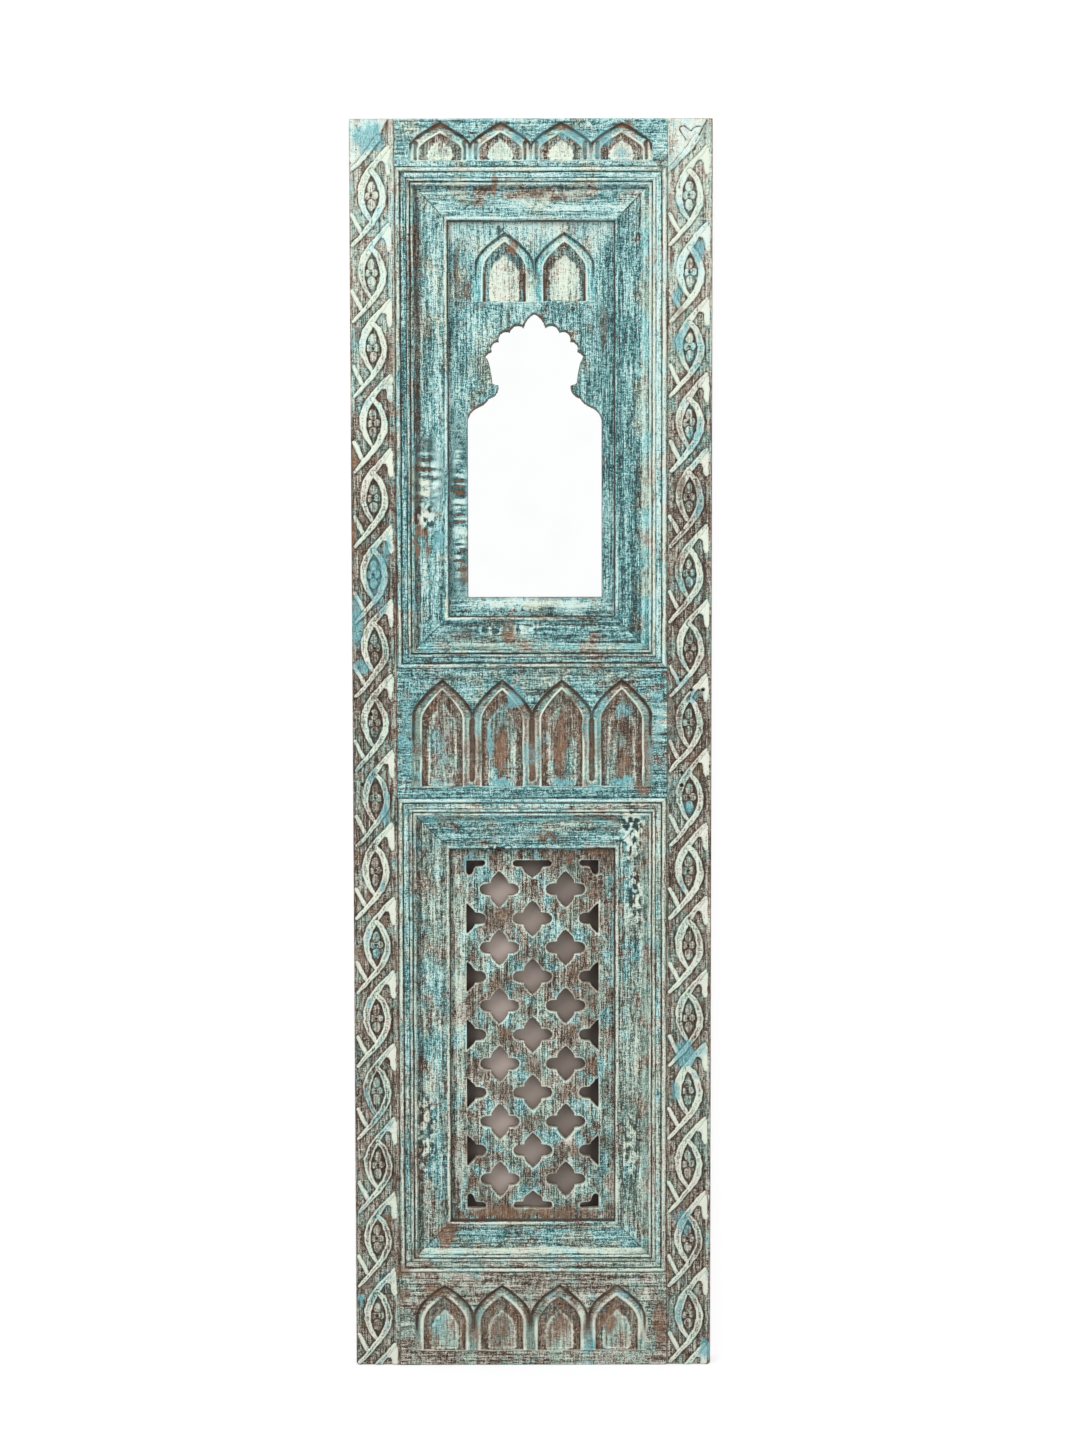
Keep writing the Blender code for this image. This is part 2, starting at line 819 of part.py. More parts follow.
def joint_nail_parts(surfaces, targets, parent):
    """Flat-headed nails driven through the stiles into the middle rail's tenons."""
    front = face_y + nail_depth
    holes = bmesh.new()
    for number, (side, inset_share, height_share) in enumerate(joint_nails, start=1):
        across = side * (opening_width / 2 + tenon_length * inset_share)
        place = (across, front, middle_rail_bottom + middle_rail_height * height_share)
        mesh = bmesh.new()
        profile = (
            (nail_radius * nail_point_share, nail_length),
            (nail_radius * nail_taper_share, nail_length - 2 * nail_radius),
            (nail_radius, 0.0),
        )
        add_turned(mesh, profile, (0.0, 0.0, 0.0), round_sides)
        side_name = "left" if side == left_side else "right"
        nail = piece(f"joint_nail_{side_name}_{number}", mesh, surfaces["iron"], place, parent)
        shade_round(nail)
        radius = nail_radius + gap
        reach = nail_length + gap
        add_turned(holes, ((radius, -nail_depth - over_cut), (radius, reach)), place, round_sides)
    cutter = helper("joint_nail_holes", holes, surfaces["iron"], (0.0, 0.0, 0.0), parent)
    for target in targets:
        shape_with(target, cutter, "DIFFERENCE")


def strap_section():
    """The folded strap from the side: a flat plate that curls round the ring's bar."""
    inner = ring_wire_radius + bar_clearance
    outer = inner + strap_thickness
    outside = []
    inside = []
    for step in range(ring_steps + 1):
        angle = curl_turn * step / ring_steps
        away = -math.cos(angle)
        up = math.sin(angle)
        outside.append((outer * away, outer * up))
        inside.append((inner * away, inner * up))
    plate_end = [(-inner, -strap_length), (-outer, -strap_length)]
    return outside + inside[::-1] + plate_end


def hanger(side_name, side, surfaces, post, pivots_parent):
    """A strap hanger on the back of a stile, with a ring that swings on it."""
    across = side * (overall_width / 2 - hanger_inset)
    axis = (across, hanger_axis_y, hook_height)
    section = [(-strap_width / 2, y, z) for y, z in strap_section()]
    mesh = extruded(section, (strap_width, 0.0, 0.0))
    strap = piece(f"hanger_strap_{side_name}", mesh, surfaces["zinc"], axis, pivots_parent)
    shade_round(strap)
    holes = bmesh.new()
    face = gap + strap_thickness + gap
    for row, share in zip(("upper", "lower"), strap_screw_shares):
        seat = (across, face, hook_height - share * strap_length)
        screw(f"hanger_screw_{side_name}_{row}", seat, surfaces["zinc"], pivots_parent)
        add_screw_hole(holes, seat)
    place = (0.0, 0.0, 0.0)
    cutter = helper(f"hanger_screw_holes_{side_name}", holes, surfaces["zinc"], place, pivots_parent)
    for target in (strap, post):
        shape_with(target, cutter, "DIFFERENCE")
    pivot = empty(f"hanger_pivot_{side_name}", axis, pivots_parent)
    ring(f"hanger_ring_{side_name}", surfaces["zinc"], pivot)


def ring(name, surface, pivot):
    """A D of round wire, its straight bar on the local X axis, hanging down."""
    path = [(-ring_half_width, 0.0), (ring_half_width, 0.0)]
    for step in range(ring_steps + 1):
        angle = math.pi * step / ring_steps
        path.append((ring_half_width * math.cos(angle), -ring_leg - ring_half_width * math.sin(angle)))
    mesh = bmesh.new()
    loops = []
    count = len(path)
    for index, (x, z) in enumerate(path):
        before = Vector(path[index - 1])
        here = Vector((x, z))
        after = Vector(path[(index + 1) % count])
        way_in = (here - before).normalized()
        way_out = (after - here).normalized()
        outward = Vector((way_in.y, -way_in.x)) + Vector((way_out.y, -way_out.x))
        outward /= max(outward.length_squared / 2, least_spread)
        loop = []
        for side in range(round_sides):
            angle = 2 * math.pi * (side + 0.5) / round_sides
            reach = outward * (ring_wire_radius * math.cos(angle))
            lift = ring_wire_radius * math.sin(angle)
            loop.append(mesh.verts.new((here.x + reach.x, lift, here.y + reach.y)))
        loops.append(loop)
    for index in range(count):
        loop = loops[index]
        after_loop = loops[(index + 1) % count]
        for side in range(round_sides):
            after = (side + 1) % round_sides
            mesh.faces.new((loop[side], loop[after], after_loop[after], after_loop[side]))
    shade_round(piece(name, mesh, surface, (0.0, 0.0, 0.0), pivot))


def bumper(name, side, surface, parent):
    """A round pad low on the back that keeps the frame off the wall."""
    mesh = bmesh.new()
    profile = ((bumper_radius, bumper_thickness), (bumper_radius, 0.0))
    add_turned(mesh, profile, (0.0, 0.0, 0.0), bumper_sides)
    across = side * (overall_width / 2 - hanger_inset)
    shade_round(piece(name, mesh, surface, (across, gap, bumper_height), parent))


def build():
    clear_scene()
    surfaces = {
        "painted_wood": material("painted_wood", (0.32, 0.42, 0.40), 0.75),
        "painted_moulding": material("painted_moulding", (0.36, 0.47, 0.44), 0.72),
        "painted_board": material("painted_board", (0.30, 0.46, 0.46), 0.75),
        "raw_wood": material("raw_wood", (0.28, 0.18, 0.11), 0.8),
        "plywood": material("plywood", (0.24, 0.20, 0.17), 0.85),
        "padding": material("padding", (0.25, 0.24, 0.22), 0.9),
        "mirror": material("mirror", (0.9, 0.92, 0.92), 0.02, 1.0),
        "zinc": material("zinc", (0.55, 0.55, 0.53), 0.4, 1.0),
        "iron": material("iron", (0.05, 0.045, 0.04), 0.6, 0.8),
        "rubber": material("rubber", (0.03, 0.03, 0.03), 0.8),
    }
    floor_edge = empty("floor_edge", (0.0, 0.0, -hook_height))
    wood = surfaces["painted_wood"]
    left = stile("left_stile", left_side, wood, floor_edge)
    right = stile("right_stile", right_side, wood, floor_edge)
    top, middle, bottom = (
        rail("top_rail", *rail_places()[0], ("below",), wood, floor_edge),
        rail("middle_rail", *rail_places()[1], ("below", "above"), wood, floor_edge),
        rail("bottom_rail", *rail_places()[2], ("above",), wood, floor_edge),
    )
    arcades = (
        (top, top_arcade, top_rail_height),
        (middle, middle_arcade, middle_rail_height),
        (bottom, bottom_arcade, bottom_rail_height),
    )
    for bar, shares, height in arcades:
        carve_arcade(bar, rail_arch_pitch, 4, shares, (0.0, height), rail_face_y, wood)
    flutes = bmesh.new()
    half_flute = rail_arch_pitch * column_share * flute_width_share / 2
    foot = middle_rail_height * flute_foot_share
    head = foot + middle_rail_height * flute_height_share
    for index in (-1, 0, 1):
        centre = index * rail_arch_pitch
        box = rectangle(centre - half_flute, centre + half_flute, foot, head)
        add_prism(flutes, box, face_y - over_cut, face_y + flute_depth)
    cutter = helper("middle_rail_flutes", flutes, wood, middle.location, floor_edge)
    shape_with(middle, cutter, "DIFFERENCE")
    moulding_frame("upper", upper_opening, surfaces["painted_moulding"], floor_edge)
    moulding_frame("lower", lower_opening, surfaces["painted_moulding"], floor_edge)
    upper_panel(surfaces["painted_board"], floor_edge)
    jali_panel(surfaces["painted_board"], floor_edge)
    mirror_parts(surfaces, floor_edge)
    posts = (left, right)
    back_board("mirror_back_board", upper_opening, surfaces, posts, floor_edge)
    back_board("jali_back_board", lower_opening, surfaces, posts, floor_edge)
    joint_nail_parts(surfaces, (left, right, middle), floor_edge)
    hanger("left", left_side, surfaces, left, floor_edge)
    hanger("right", right_side, surfaces, right, floor_edge)
    bumper("wall_bumper_left", left_side, surfaces["rubber"], floor_edge)
    bumper("wall_bumper_right", right_side, surfaces["rubber"], floor_edge)


build()
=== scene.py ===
"""The looks of a tall wall mirror built into an old carved and painted door panel.

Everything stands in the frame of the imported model: metres, the carved front towards -Y,
height along +Z, and the origin midway between the two wall hooks. The carving is worked
out in millimetres on a fine grid over each board, with x from the middle of the panel
and z from its floor edge. Behind the carving each piece keeps the form of its solid.
"""
import math

import bmesh
import bpy
import numpy as np
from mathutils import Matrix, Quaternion, Vector
from mathutils.geometry import delaunay_2d_cdt


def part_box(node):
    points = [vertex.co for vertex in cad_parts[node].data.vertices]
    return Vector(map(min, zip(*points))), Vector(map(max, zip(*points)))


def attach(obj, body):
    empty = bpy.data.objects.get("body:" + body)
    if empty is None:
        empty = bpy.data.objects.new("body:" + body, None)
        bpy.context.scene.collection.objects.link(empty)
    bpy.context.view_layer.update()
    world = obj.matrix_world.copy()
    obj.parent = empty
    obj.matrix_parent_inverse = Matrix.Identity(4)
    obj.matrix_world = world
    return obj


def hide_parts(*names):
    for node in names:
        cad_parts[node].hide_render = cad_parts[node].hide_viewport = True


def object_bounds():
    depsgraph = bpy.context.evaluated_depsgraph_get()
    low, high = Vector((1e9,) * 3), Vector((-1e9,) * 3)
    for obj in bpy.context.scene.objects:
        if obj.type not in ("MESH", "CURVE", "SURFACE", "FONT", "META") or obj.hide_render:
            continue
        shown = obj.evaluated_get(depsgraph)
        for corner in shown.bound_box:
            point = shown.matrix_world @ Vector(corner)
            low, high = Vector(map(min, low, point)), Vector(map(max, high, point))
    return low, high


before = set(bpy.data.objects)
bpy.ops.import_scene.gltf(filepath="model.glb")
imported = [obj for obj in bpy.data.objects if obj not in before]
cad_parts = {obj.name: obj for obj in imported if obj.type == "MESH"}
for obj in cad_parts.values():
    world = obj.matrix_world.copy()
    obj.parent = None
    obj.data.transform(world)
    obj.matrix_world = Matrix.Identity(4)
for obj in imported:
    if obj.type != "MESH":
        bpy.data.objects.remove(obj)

cad_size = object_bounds()
mm = 0.001

# Steps of the carving's grids, in millimetres
fine_step = 1.15
rail_step = 1.0005
board_step = 1.15
strip_step = 2.2
strip_step_in = 1.3

# Camera, in metres and degrees
camera_distance = 3.6
camera_height_angle = 3.4
camera_roll = -0.12
seen_height = 2.119
picture_shift = (0.0055, 0.0206)
aim_y = -0.03
aim_lift = 0.001

# Cards of floor and wall, in metres, and each one's shade and glow
card_half_width, card_depth, card_height = 9.0, 7.0, 9.0
wall_y = 0.0125
floor_gap = 0.0005
floor_look = (0.45, 0.65)
wall_look = (0.26, 0.84)

# Lamps: place, aim, size and power
lamps = {
    "key_light": ((-1.5, -3.1, 1.3), (0.0, 0.0, -0.6), 1.8, 50.0),
    "fill_light": ((1.6, -3.4, -0.4), (0.0, 0.0, -0.7), 2.4, 18.0),
}
world_light = 0.82

# Levels on the panel, as y in metres
face_y = -0.0448
ground_y = -0.0415
carving_back_y = -0.0375
board_front_y = -0.0243
moulding_front_y = -0.036
board_back_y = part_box("upper_panel")[1].y
sheet_back_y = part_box("jali_back_board")[1].y
floor_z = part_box("left_stile")[0].z

# The vine, in millimetres: height of the first eye, the distance from one to the next, how
# much lower the last ones hang, and how far up and down one eye's outlines reach
first_eye = 1719.5
eye_pitch = 109.1
eye_count = 16
drop_from = 13.6
lowest_drop = 5.8
eye_across = 32.0
eye_reach = 82.0
carved_width = 57.0
corner_radius = 5.0
strand_height = 3.3

# Routes about an eye's centre: across, up and half the width of the strand there
left_strand = (
    (25.5, 70.0, 1.8), (12.0, 54.0, 3.2), (0.0, 38.5, 4.6), (-9.0, 24.0, 5.4), (-14.0, 9.0, 5.2),
    (-14.0, -6.0, 4.4), (-9.0, -21.0, 3.4), (-1.0, -34.0, 2.4), (4.0, -40.0, 1.8),
)
right_strand = (
    (1.0, 35.0, 3.2), (9.0, 26.0, 3.8), (15.0, 12.0, 4.2), (17.5, -1.0, 4.6), (16.0, -13.0, 4.8),
    (10.0, -26.0, 4.4), (1.0, -39.0, 3.8), (-9.0, -51.0, 3.2), (-19.0, -62.0, 2.9), (-27.0, -70.5, 2.2),
)
left_leaf = ((-27.5, -27.0, 2.6), (-22.0, -38.0, 3.0), (-15.5, -51.0, 3.0))
right_leaf = [
    (26.5, 71.0), (28.9, 64.0), (28.9, 33.5), (26.8, 30.0), (24.0, 30.5), (21.5, 37.0), (20.8, 46.0),
    (18.5, 50.0), (13.0, 50.5),
]
# The petals of an eye's flower: middle across and up, half width and half height
petals = ((0.0, 12.5, 5.6, 8.4), (0.4, -13.0, 5.8, 8.6), (-4.8, 0.0, 4.8, 5.8), (5.2, 0.6, 5.2, 5.8))
# The plain corner over the vine, and the curl and pit cut into the right one
plain_corner = [
    (-40.0, -88.0), (-27.0, -72.0), (-9.0, -51.0), (10.0, -26.0), (24.0, 0.0), (40.0, 0.0),
    (40.0, 60.0), (-40.0, 60.0),
]
curl = (
    (-3.3, 79.0), (-7.8, 85.8), (-13.0, 93.6), (-12.4, 98.0), (-6.5, 99.5), (-2.0, 96.0), (3.9, 92.0),
    (6.5, 96.0), (10.4, 98.2), (17.0, 98.8), (20.0, 96.0), (15.6, 87.0), (10.4, 76.7),
)
curl_pit = (7.2, 68.2, 4.3)
nail_pit_radius = 3.0
nail_pit_level = -1.25

# Arcades, in millimetres. pitch, count and middle place the niches. base, spring, apex, half
# and bow shape the bevelled head, and rim is the half width and height of its raised edge.
# ridge and field are the half width and apex of the punched band and of the field in it.
# flute is a trough beside the niches: off the middle between them, half width, foot, head.
# The rest is paint: blue at the field's foot, cream on the field, cream and bare wood all
# over, turquoise on the plain face, and how quiet the field's brush marks are.
arcade = dict(pitch=87.5, count=4, middle=0.0, half=43.0, bow=1.4, rim=(1.2, 0.9), foot=0.0, calm=0.4)
top_arcade = dict(
    arcade, base=1769.5, spring=24.0, apex=55.0, ridge=(31.0, 40.5), field=(18.5, 31.0),
    flute=(9.0, 3.2, 4.0, 26.0), pale=0.65, worn=(0.15, 0.0), teal=0.6)
middle_arcade = dict(
    arcade, base=862.0, spring=108.0, apex=157.5, bow=1.45, rim=(1.3, 0.9), ridge=(30.0, 143.0),
    field=(21.5, 123.0), flute=(0.0, 4.2, 12.0, 96.0), foot=0.3, pale=0.1, worn=(-0.08, 0.15), teal=0.4)
bottom_arcade = dict(
    arcade, pitch=85.2, middle=-3.7, base=21.5, spring=50.0, apex=98.5, half=42.0, bow=1.9,
    rim=(2.3, 1.7), ridge=(31.5, 82.0), field=(21.5, 62.0), flute=(0.0, 0.0, 0.0, 0.0), pale=0.25,
    worn=(0.1, 0.3), teal=-0.1, calm=0.8)
board_arcade = dict(
    arcade, count=2, base=1569.5, spring=56.0, apex=101.0, bow=1.6, rim=(1.2, 0.8),
    ridge=(31.0, 88.0), field=(22.5, 69.0), flute=(14.0, 2.2, 3.0, 40.0))

# How much more cream paint, bare wood and turquoise each strip has than the others, how
# much painted light its cove gets as it faces the lamps (painted shade below 0), how much
# paler its outer beads are, and how blue its flat bands are
strip_tones = {
    "upper_moulding_left": (-0.12, 0.1, 0.2, -0.3, -0.2, 1.0),
    "upper_moulding_right": (-0.4, 0.1, 0.3, 0.6, 0.8, 1.0),
    "upper_moulding_top": (0.25, 0.0, 0.45, -0.3, -0.1, 0.8),
    "upper_moulding_bottom": (-0.3, 0.15, 0.3, 0.7, 0.1, 0.6),
    "lower_moulding_left": (-0.15, 0.1, 0.0, -0.1, 0.1, 0.6),
    "lower_moulding_right": (-0.22, 0.1, 0.0, 0.4, 0.4, 0.6),
    "lower_moulding_top": (-0.18, 0.0, 0.4, 0.1, 0.3, -0.4),
    "lower_moulding_bottom": (-0.28, 0.1, 0.25, 1.1, 0.4, -0.6),
}
# Outline of a moulding: in from its outer edge and up off its back, in millimetres
strip_width = 76.5
strip_highest = 22.0
strip_lowest = 2.0
strip_outline = (
    (0.0, 18.6), (0.7, 19.4), (1.6, 20.6), (2.6, 21.5), (3.9, 21.9), (5.2, 21.5), (6.2, 20.4),
    (6.9, 19.0), (7.6, 18.3), (8.2, 19.2), (9.0, 20.0), (12.0, 20.3), (15.0, 20.0),
    (15.7, 18.7), (16.4, 18.9), (17.2, 20.2), (18.6, 20.6), (20.0, 20.2), (20.7, 18.4),
    (21.5, 17.7), (22.2, 18.0), (22.9, 19.6), (24.0, 20.3), (25.2, 19.9), (26.2, 18.0),
    (27.6, 17.0), (31.0, 16.0), (34.6, 15.6), (36.0, 15.6), (45.0, 13.9), (54.0, 12.5),
    (62.4, 11.6), (63.6, 11.3), (64.8, 11.5), (69.0, 11.6), (69.8, 11.7),
    (70.6, 12.6), (72.0, 13.2), (73.6, 12.9), (74.6, 12.0), (75.2, 10.2), (76.5, 9.6),
)
# Where the outer beads, the cove, the broad slope and the pale foot of that slope start and
# end, each fading in and out between two places
strip_outer = (-1.0, 0.0, 25.0, 27.0)
strip_cove = (26.8, 28.5, 34.5, 37.0)
strip_slope = (36.0, 38.0, 61.0, 63.0)
strip_slope_foot = (40.0, 62.0, 62.0, 63.0)
# Across the same outline: middle, half width and strength of the pale beads, the blue bands
# and the dark lines, which paint dirt and shade into the crevices
strip_beads = ((3.9, 2.2, 0.55), (18.6, 1.6, 0.2), (24.2, 1.3, 0.3), (72.3, 1.8, 0.6))
strip_bands = ((12.2, 3.4, 0.6), (67.4, 2.6, 0.45))
strip_lines = ((7.6, 0.9, 0.4), (15.9, 0.7, 0.2), (21.5, 0.9, 0.5), (26.8, 0.8, 0.2), (76.0, 1.1, 0.9))

# Half of the cusped arch: corners in millimetres from its axis and up from its sill, with
# how far the arc before each bulges and how many steps it has
arch_corners = (
    (15.8, 393.9, 3.2, 8), (36.4, 387.4, 6.6, 8), (52.4, 373.9, 7.2, 8), (62.7, 359.6, 5.5, 8),
    (73.5, 351.1, 1.2, 4), (65.7, 337.1, -1.4, 4), (62.0, 311.5, -0.6, 6), (52.7, 308.4, 0.6, 3),
    (66.9, 291.3, -3.8, 8), (83.9, 277.9, -1.8, 6), (98.6, 259.8, 2.8, 6),
)
arch_middle = 4.8
arch_sill = 1140.5
arch_height = 414.5
arch_half_width = 98.6

# How much of the boards' edges lies behind the mouldings and their lips
board_cover = strip_width + 6.0

# The pierced screen
screen_half_width = 98.0
screen_foot = 231.0
screen_height = 521.0
screen_columns = 4
screen_rows = 12
# A quarter of a hole, across and up from its middle, the same for half a hole beside a
# stile, and holes cut off by the screen's border: at the top or foot, and in a corner
hole_quarter = [
    (0.0, 27.3), (4.6, 23.6), (9.8, 17.6), (12.8, 12.6), (12.6, 9.6), (16.0, 9.0), (20.5, 8.8),
    (24.8, 7.4), (27.8, 4.8), (29.0, 2.0), (29.2, 0.0),
]
side_quarter = [(0.0, 22.8), (1.0, 22.6), (4.0, 20.4), (9.4, 14.8), (12.2, 11.6)] + hole_quarter[4:]
screen_border = [
    (0.0, 0.0), (25.0, 0.0), (27.6, 1.2), (28.9, 3.6), (28.9, 6.2), (27.4, 8.6), (25.0, 9.8),
    (16.2, 10.2), (14.4, 11.8), (12.0, 17.6), (0.0, 27.0),
]
screen_corner = [
    (0.0, 0.0), (25.0, 0.0), (27.2, 0.9), (28.4, 3.0), (28.2, 5.6), (26.6, 7.8), (24.0, 9.0), (14.5, 9.6),
    (11.6, 12.0), (10.6, 16.0), (8.8, 19.8), (6.0, 22.0), (3.0, 22.0), (0.8, 20.4), (0.0, 18.0),
]


def colour(red, green, blue):
    """A paint colour given on a 0 to 255 scale, as the renderer wants it."""
    mixed = []
    for part in (red, green, blue):
        share = part / 255
        mixed.append(share / 12.92 if share <= 0.04045 else ((share + 0.055) / 1.055) ** 2.4)
    return (*mixed, 1.0)


# ------------------------------------------------------------------ carving tools


def swell(value, low, high):
    """0 below low, 1 above high, and smooth between."""
    share = np.clip((value - low) / (high - low), 0.0, 1.0)
    return share * share * (3.0 - 2.0 * share)


def between(value, low, full, still, high):
    """0 below low, 1 from full to still, 0 above high, and smooth between."""
    return swell(value, low, full) * swell(-value, -high, -still)


def unevenness(x, z, width, height, seed):
    """Smooth seeded lumps from -1 to 1, of about the given width and height."""
    table = np.random.default_rng(seed).uniform(-1.0, 1.0, (61, 67))
    u = x / width + 500.0
    v = z / height + 500.0
    column = np.floor(u).astype(int)
    row = np.floor(v).astype(int)
    along = swell(u - column, 0.0, 1.0)
    up = swell(v - row, 0.0, 1.0)
    left, right = column % 67, (column + 1) % 67
    low, high = row % 61, (row + 1) % 61
    lower = table[low, left] * (1 - along) + table[low, right] * along
    upper = table[high, left] * (1 - along) + table[high, right] * along
    return lower * (1 - up) + upper * up


def layered(x, z, *layers):
    """Several kinds of unevenness at once, each given as strength, width, height and seed."""
    return sum(strength * unevenness(x, z, *layer) for strength, *layer in layers)


def hump(value, middle, half, power=2):
    """1 at the middle, falling smoothly towards 0 on both sides."""
    return np.exp(-((value - middle) / half) ** power)


def humps(value, places, power=2):
    return sum(hump(value, middle, half, power) * most for middle, half, most in places)


def moved_to(relief, share, level):
    """The relief brought to a level wherever the share is 1."""
    return relief + share * (level - relief)


def nearest(x, z, start, end):
    """The share of a straight run at which each place is nearest to it, and how far off."""
    run_x, run_z = end[0] - start[0], end[1] - start[1]
    share = ((x - start[0]) * run_x + (z - start[1]) * run_z) / (run_x ** 2 + run_z ** 2)
    share = np.clip(share, 0.0, 1.0)
    return share, np.hypot(x - start[0] - share * run_x, z - start[1] - share * run_z)


def sides_of(outline):
    """Start and end of each side of a closed outline, without those of no length."""
    return [(start, end) for start, end in zip(outline, outline[1:] + outline[:1]) if start != end]


def from_route(x, z, route):
    """How far inside a strand of changing width each place is; negative is outside."""
    inside = np.full(x.shape, -1e3)
    for start, end in zip(route, route[1:]):
        share, away = nearest(x, z, start, end)
        inside = np.maximum(inside, start[2] + (end[2] - start[2]) * share - away)
    return inside


def from_outline(x, z, outline):
    """Distance to a closed outline, positive inside."""
    distance = np.full(x.shape, 1e3)
    inside = np.zeros(x.shape, bool)
    for start, end in sides_of(outline):
        distance = np.minimum(distance, nearest(x, z, start, end)[1])
        run_x, run_z = end[0] - start[0], end[1] - start[1]
        if run_z != 0.0:
            crosses = (start[1] > z) != (end[1] > z)
            inside ^= crosses & (x < start[0] + (z - start[1]) * run_x / run_z)
    return np.where(inside, distance, -distance)


def softened(relief, cells):
    """The relief with everything smaller than some cells smoothed away."""
    reach = int(math.ceil(cells * 2.5))
    taps = np.exp(-0.5 * (np.arange(-reach, reach + 1) / cells) ** 2)
    taps /= taps.sum()
    for axis in (0, 1):
        spread = [(0, 0), (0, 0)]
        spread[axis] = (reach, reach)
        padded = np.pad(relief, spread, mode="edge")
        size = relief.shape[axis]
        relief = sum(
            tap * np.take(padded, range(start, start + size), axis=axis)
            for start, tap in enumerate(taps)
        )
    return relief


def arc_points(start, end, rise, steps):
    """Points of an arc after its start that stands out by rise to the left of its way."""
    start, end = np.array(start, float), np.array(end, float)
    chord = end - start
    length = np.hypot(*chord)
    normal = np.array((-chord[1], chord[0])) / length
    radius = (length ** 2 / 4 + rise ** 2) / (2 * rise)
    centre = (start + end) / 2 + normal * (rise - radius)
    spoke = start - centre
    turn = -2 * math.asin(length / (2 * radius))
    points = []
    for step in range(1, steps + 1):
        angle = turn * step / steps
        across = spoke[0] * math.cos(angle) - spoke[1] * math.sin(angle)
        up = spoke[0] * math.sin(angle) + spoke[1] * math.cos(angle)
        points.append((centre[0] + across, centre[1] + up))
    return points


# ------------------------------------------------------------------ the carved forms


def eye_places(side):
    """Middle and size of each eye of a stile's vine, a little uneven as cut by hand."""
    draw = np.random.default_rng(3 + side)
    places = []
    for index in range(-1, eye_count + 1):
        x = eye_across + draw.uniform(-0.9, 0.9)
        drop = eye_pitch * index + lowest_drop * max(0.0, index - drop_from)
        places.append((x, first_eye - drop + draw.uniform(-1.2, 1.2), draw.uniform(0.94, 1.06)))
    return places


def vine_relief(x, z, side):
    """Height over the ground of one stile's carving, x from its left edge, and its parts."""
    worn_x = x + layered(x, z, (0.8, 14.0, 17.0, 11 + side), (0.5, 4.0, 5.0, 18))
    worn_z = z + layered(x, z, (1.0, 16.0, 15.0, 13 + side), (0.5, 5.0, 4.0, 19))
    relief = 0.25 + layered(x, z, (0.22, 1.7, 38.0, 15 + side), (0.2, 5.0, 60.0, 17))
    relief = moved_to(relief, swell(x, carved_width - 1.2, carved_width + 2.2), strand_height - 0.9)
    relief = moved_to(relief, swell(-x, -2.2, -0.6), 1.6)
    strand, spine, flower, white, around = (np.zeros(x.shape) for _ in range(5))
    for index, (eye_x, eye_z, size) in enumerate(eye_places(side)):
        rows = np.where(np.abs(z[:, 0] - eye_z) < eye_reach)[0]
        if not len(rows):
            continue
        part = slice(rows[0], rows[-1] + 1)
        u, v = worn_x[part] - eye_x, worn_z[part] - eye_z
        here = relief[part]
        petal = np.full(u.shape, 9.0)
        if index:
            left = from_route(u, v, left_strand) + 6.0 * (size - 1.0)
            right = from_route(u, v, right_strand) + 6.0 * (size - 1.0)
            wedge = from_outline(u, v, right_leaf)
            leaf = np.maximum(from_route(u, v, left_leaf), wedge)
            white[part] = np.maximum(white[part], swell(wedge, -0.4, 0.6))
            for across, up, wide, high in petals:
                reach = np.hypot((u - across) / wide, (v - up) / high)
                petal = np.minimum(petal, (reach - 1.0) * wide)
        else:
            left = leaf = np.full(u.shape, -1e3)
            right = from_route(u, v, right_strand[5:])
            plain = swell(from_outline(u, v, plain_corner), -0.8, 0.8)
            here = moved_to(here, plain, strand_height - 0.5)
            strand[part] = 0.6 * plain
        eye = np.hypot(u, v)
        trench = swell(2.6 - np.abs(petal - 1.0), 0.0, 1.6) * (index > 0)
        around[part] = np.maximum(around[part], trench * (np.abs(u) < 15.0) * (np.abs(v) < 26.0))
        here = np.maximum(here - 0.7 * trench, (2.1 - 0.05 * eye) * swell(-petal, -0.4, 1.2))
        if index:
            here = np.maximum(here, 2.5 * swell(3.9 - eye, 0.0, 0.8))
            here = np.where(eye < 2.3, -1.0 * swell(2.3 - eye, -0.4, 0.6), here)
        here = np.maximum(here, (strand_height - 0.6) * swell(leaf, -0.7, 0.6))
        for inside, groove, rise, dip in ((left, 1.2, 0.0, 0.45), (right, 1.5, 0.1, 0.5)):
            here = here - groove * swell(1.1 - np.abs(inside + 1.0), 0.0, 0.9) * (here > 0.9)
            face = strand_height + rise - dip * hump(inside, 4.4, 2.0)
            here = np.maximum(here, face * swell(inside, -0.7, 0.6))
        relief[part] = here
        top = np.maximum(left, right)
        strand[part] = np.maximum(strand[part], swell(np.maximum(top, leaf), -0.4, 0.6))
        spine[part] = np.maximum(spine[part], swell(top, 1.6, 2.8))
        if index:
            flower[part] = np.maximum(flower[part], swell(-petal, -1.5, 0.5) * swell(-top, -0.5, 0.5))
    if side > 0:
        u, v = x - (eye_across - 1.4), z - first_eye
        pit_x, pit_z, pit_radius = curl_pit
        relief = relief - 2.4 * swell(from_route(u, v, [(a, b, 1.0) for a, b in curl]), -0.5, 0.7)
        relief = relief - 2.2 * swell(pit_radius - np.hypot(u - pit_x, v - pit_z), -0.3, 1.0)
    relief += layered(x, z, (0.1, 2.3, 26.0, 23 + side), (0.15, 7.0, 9.0, 25), (0.12, 3.0, 3.4, 26))
    return relief, {"strand": strand, "spine": spine, "flower": flower, "white": white,
                    "around": around * (1 - strand)}


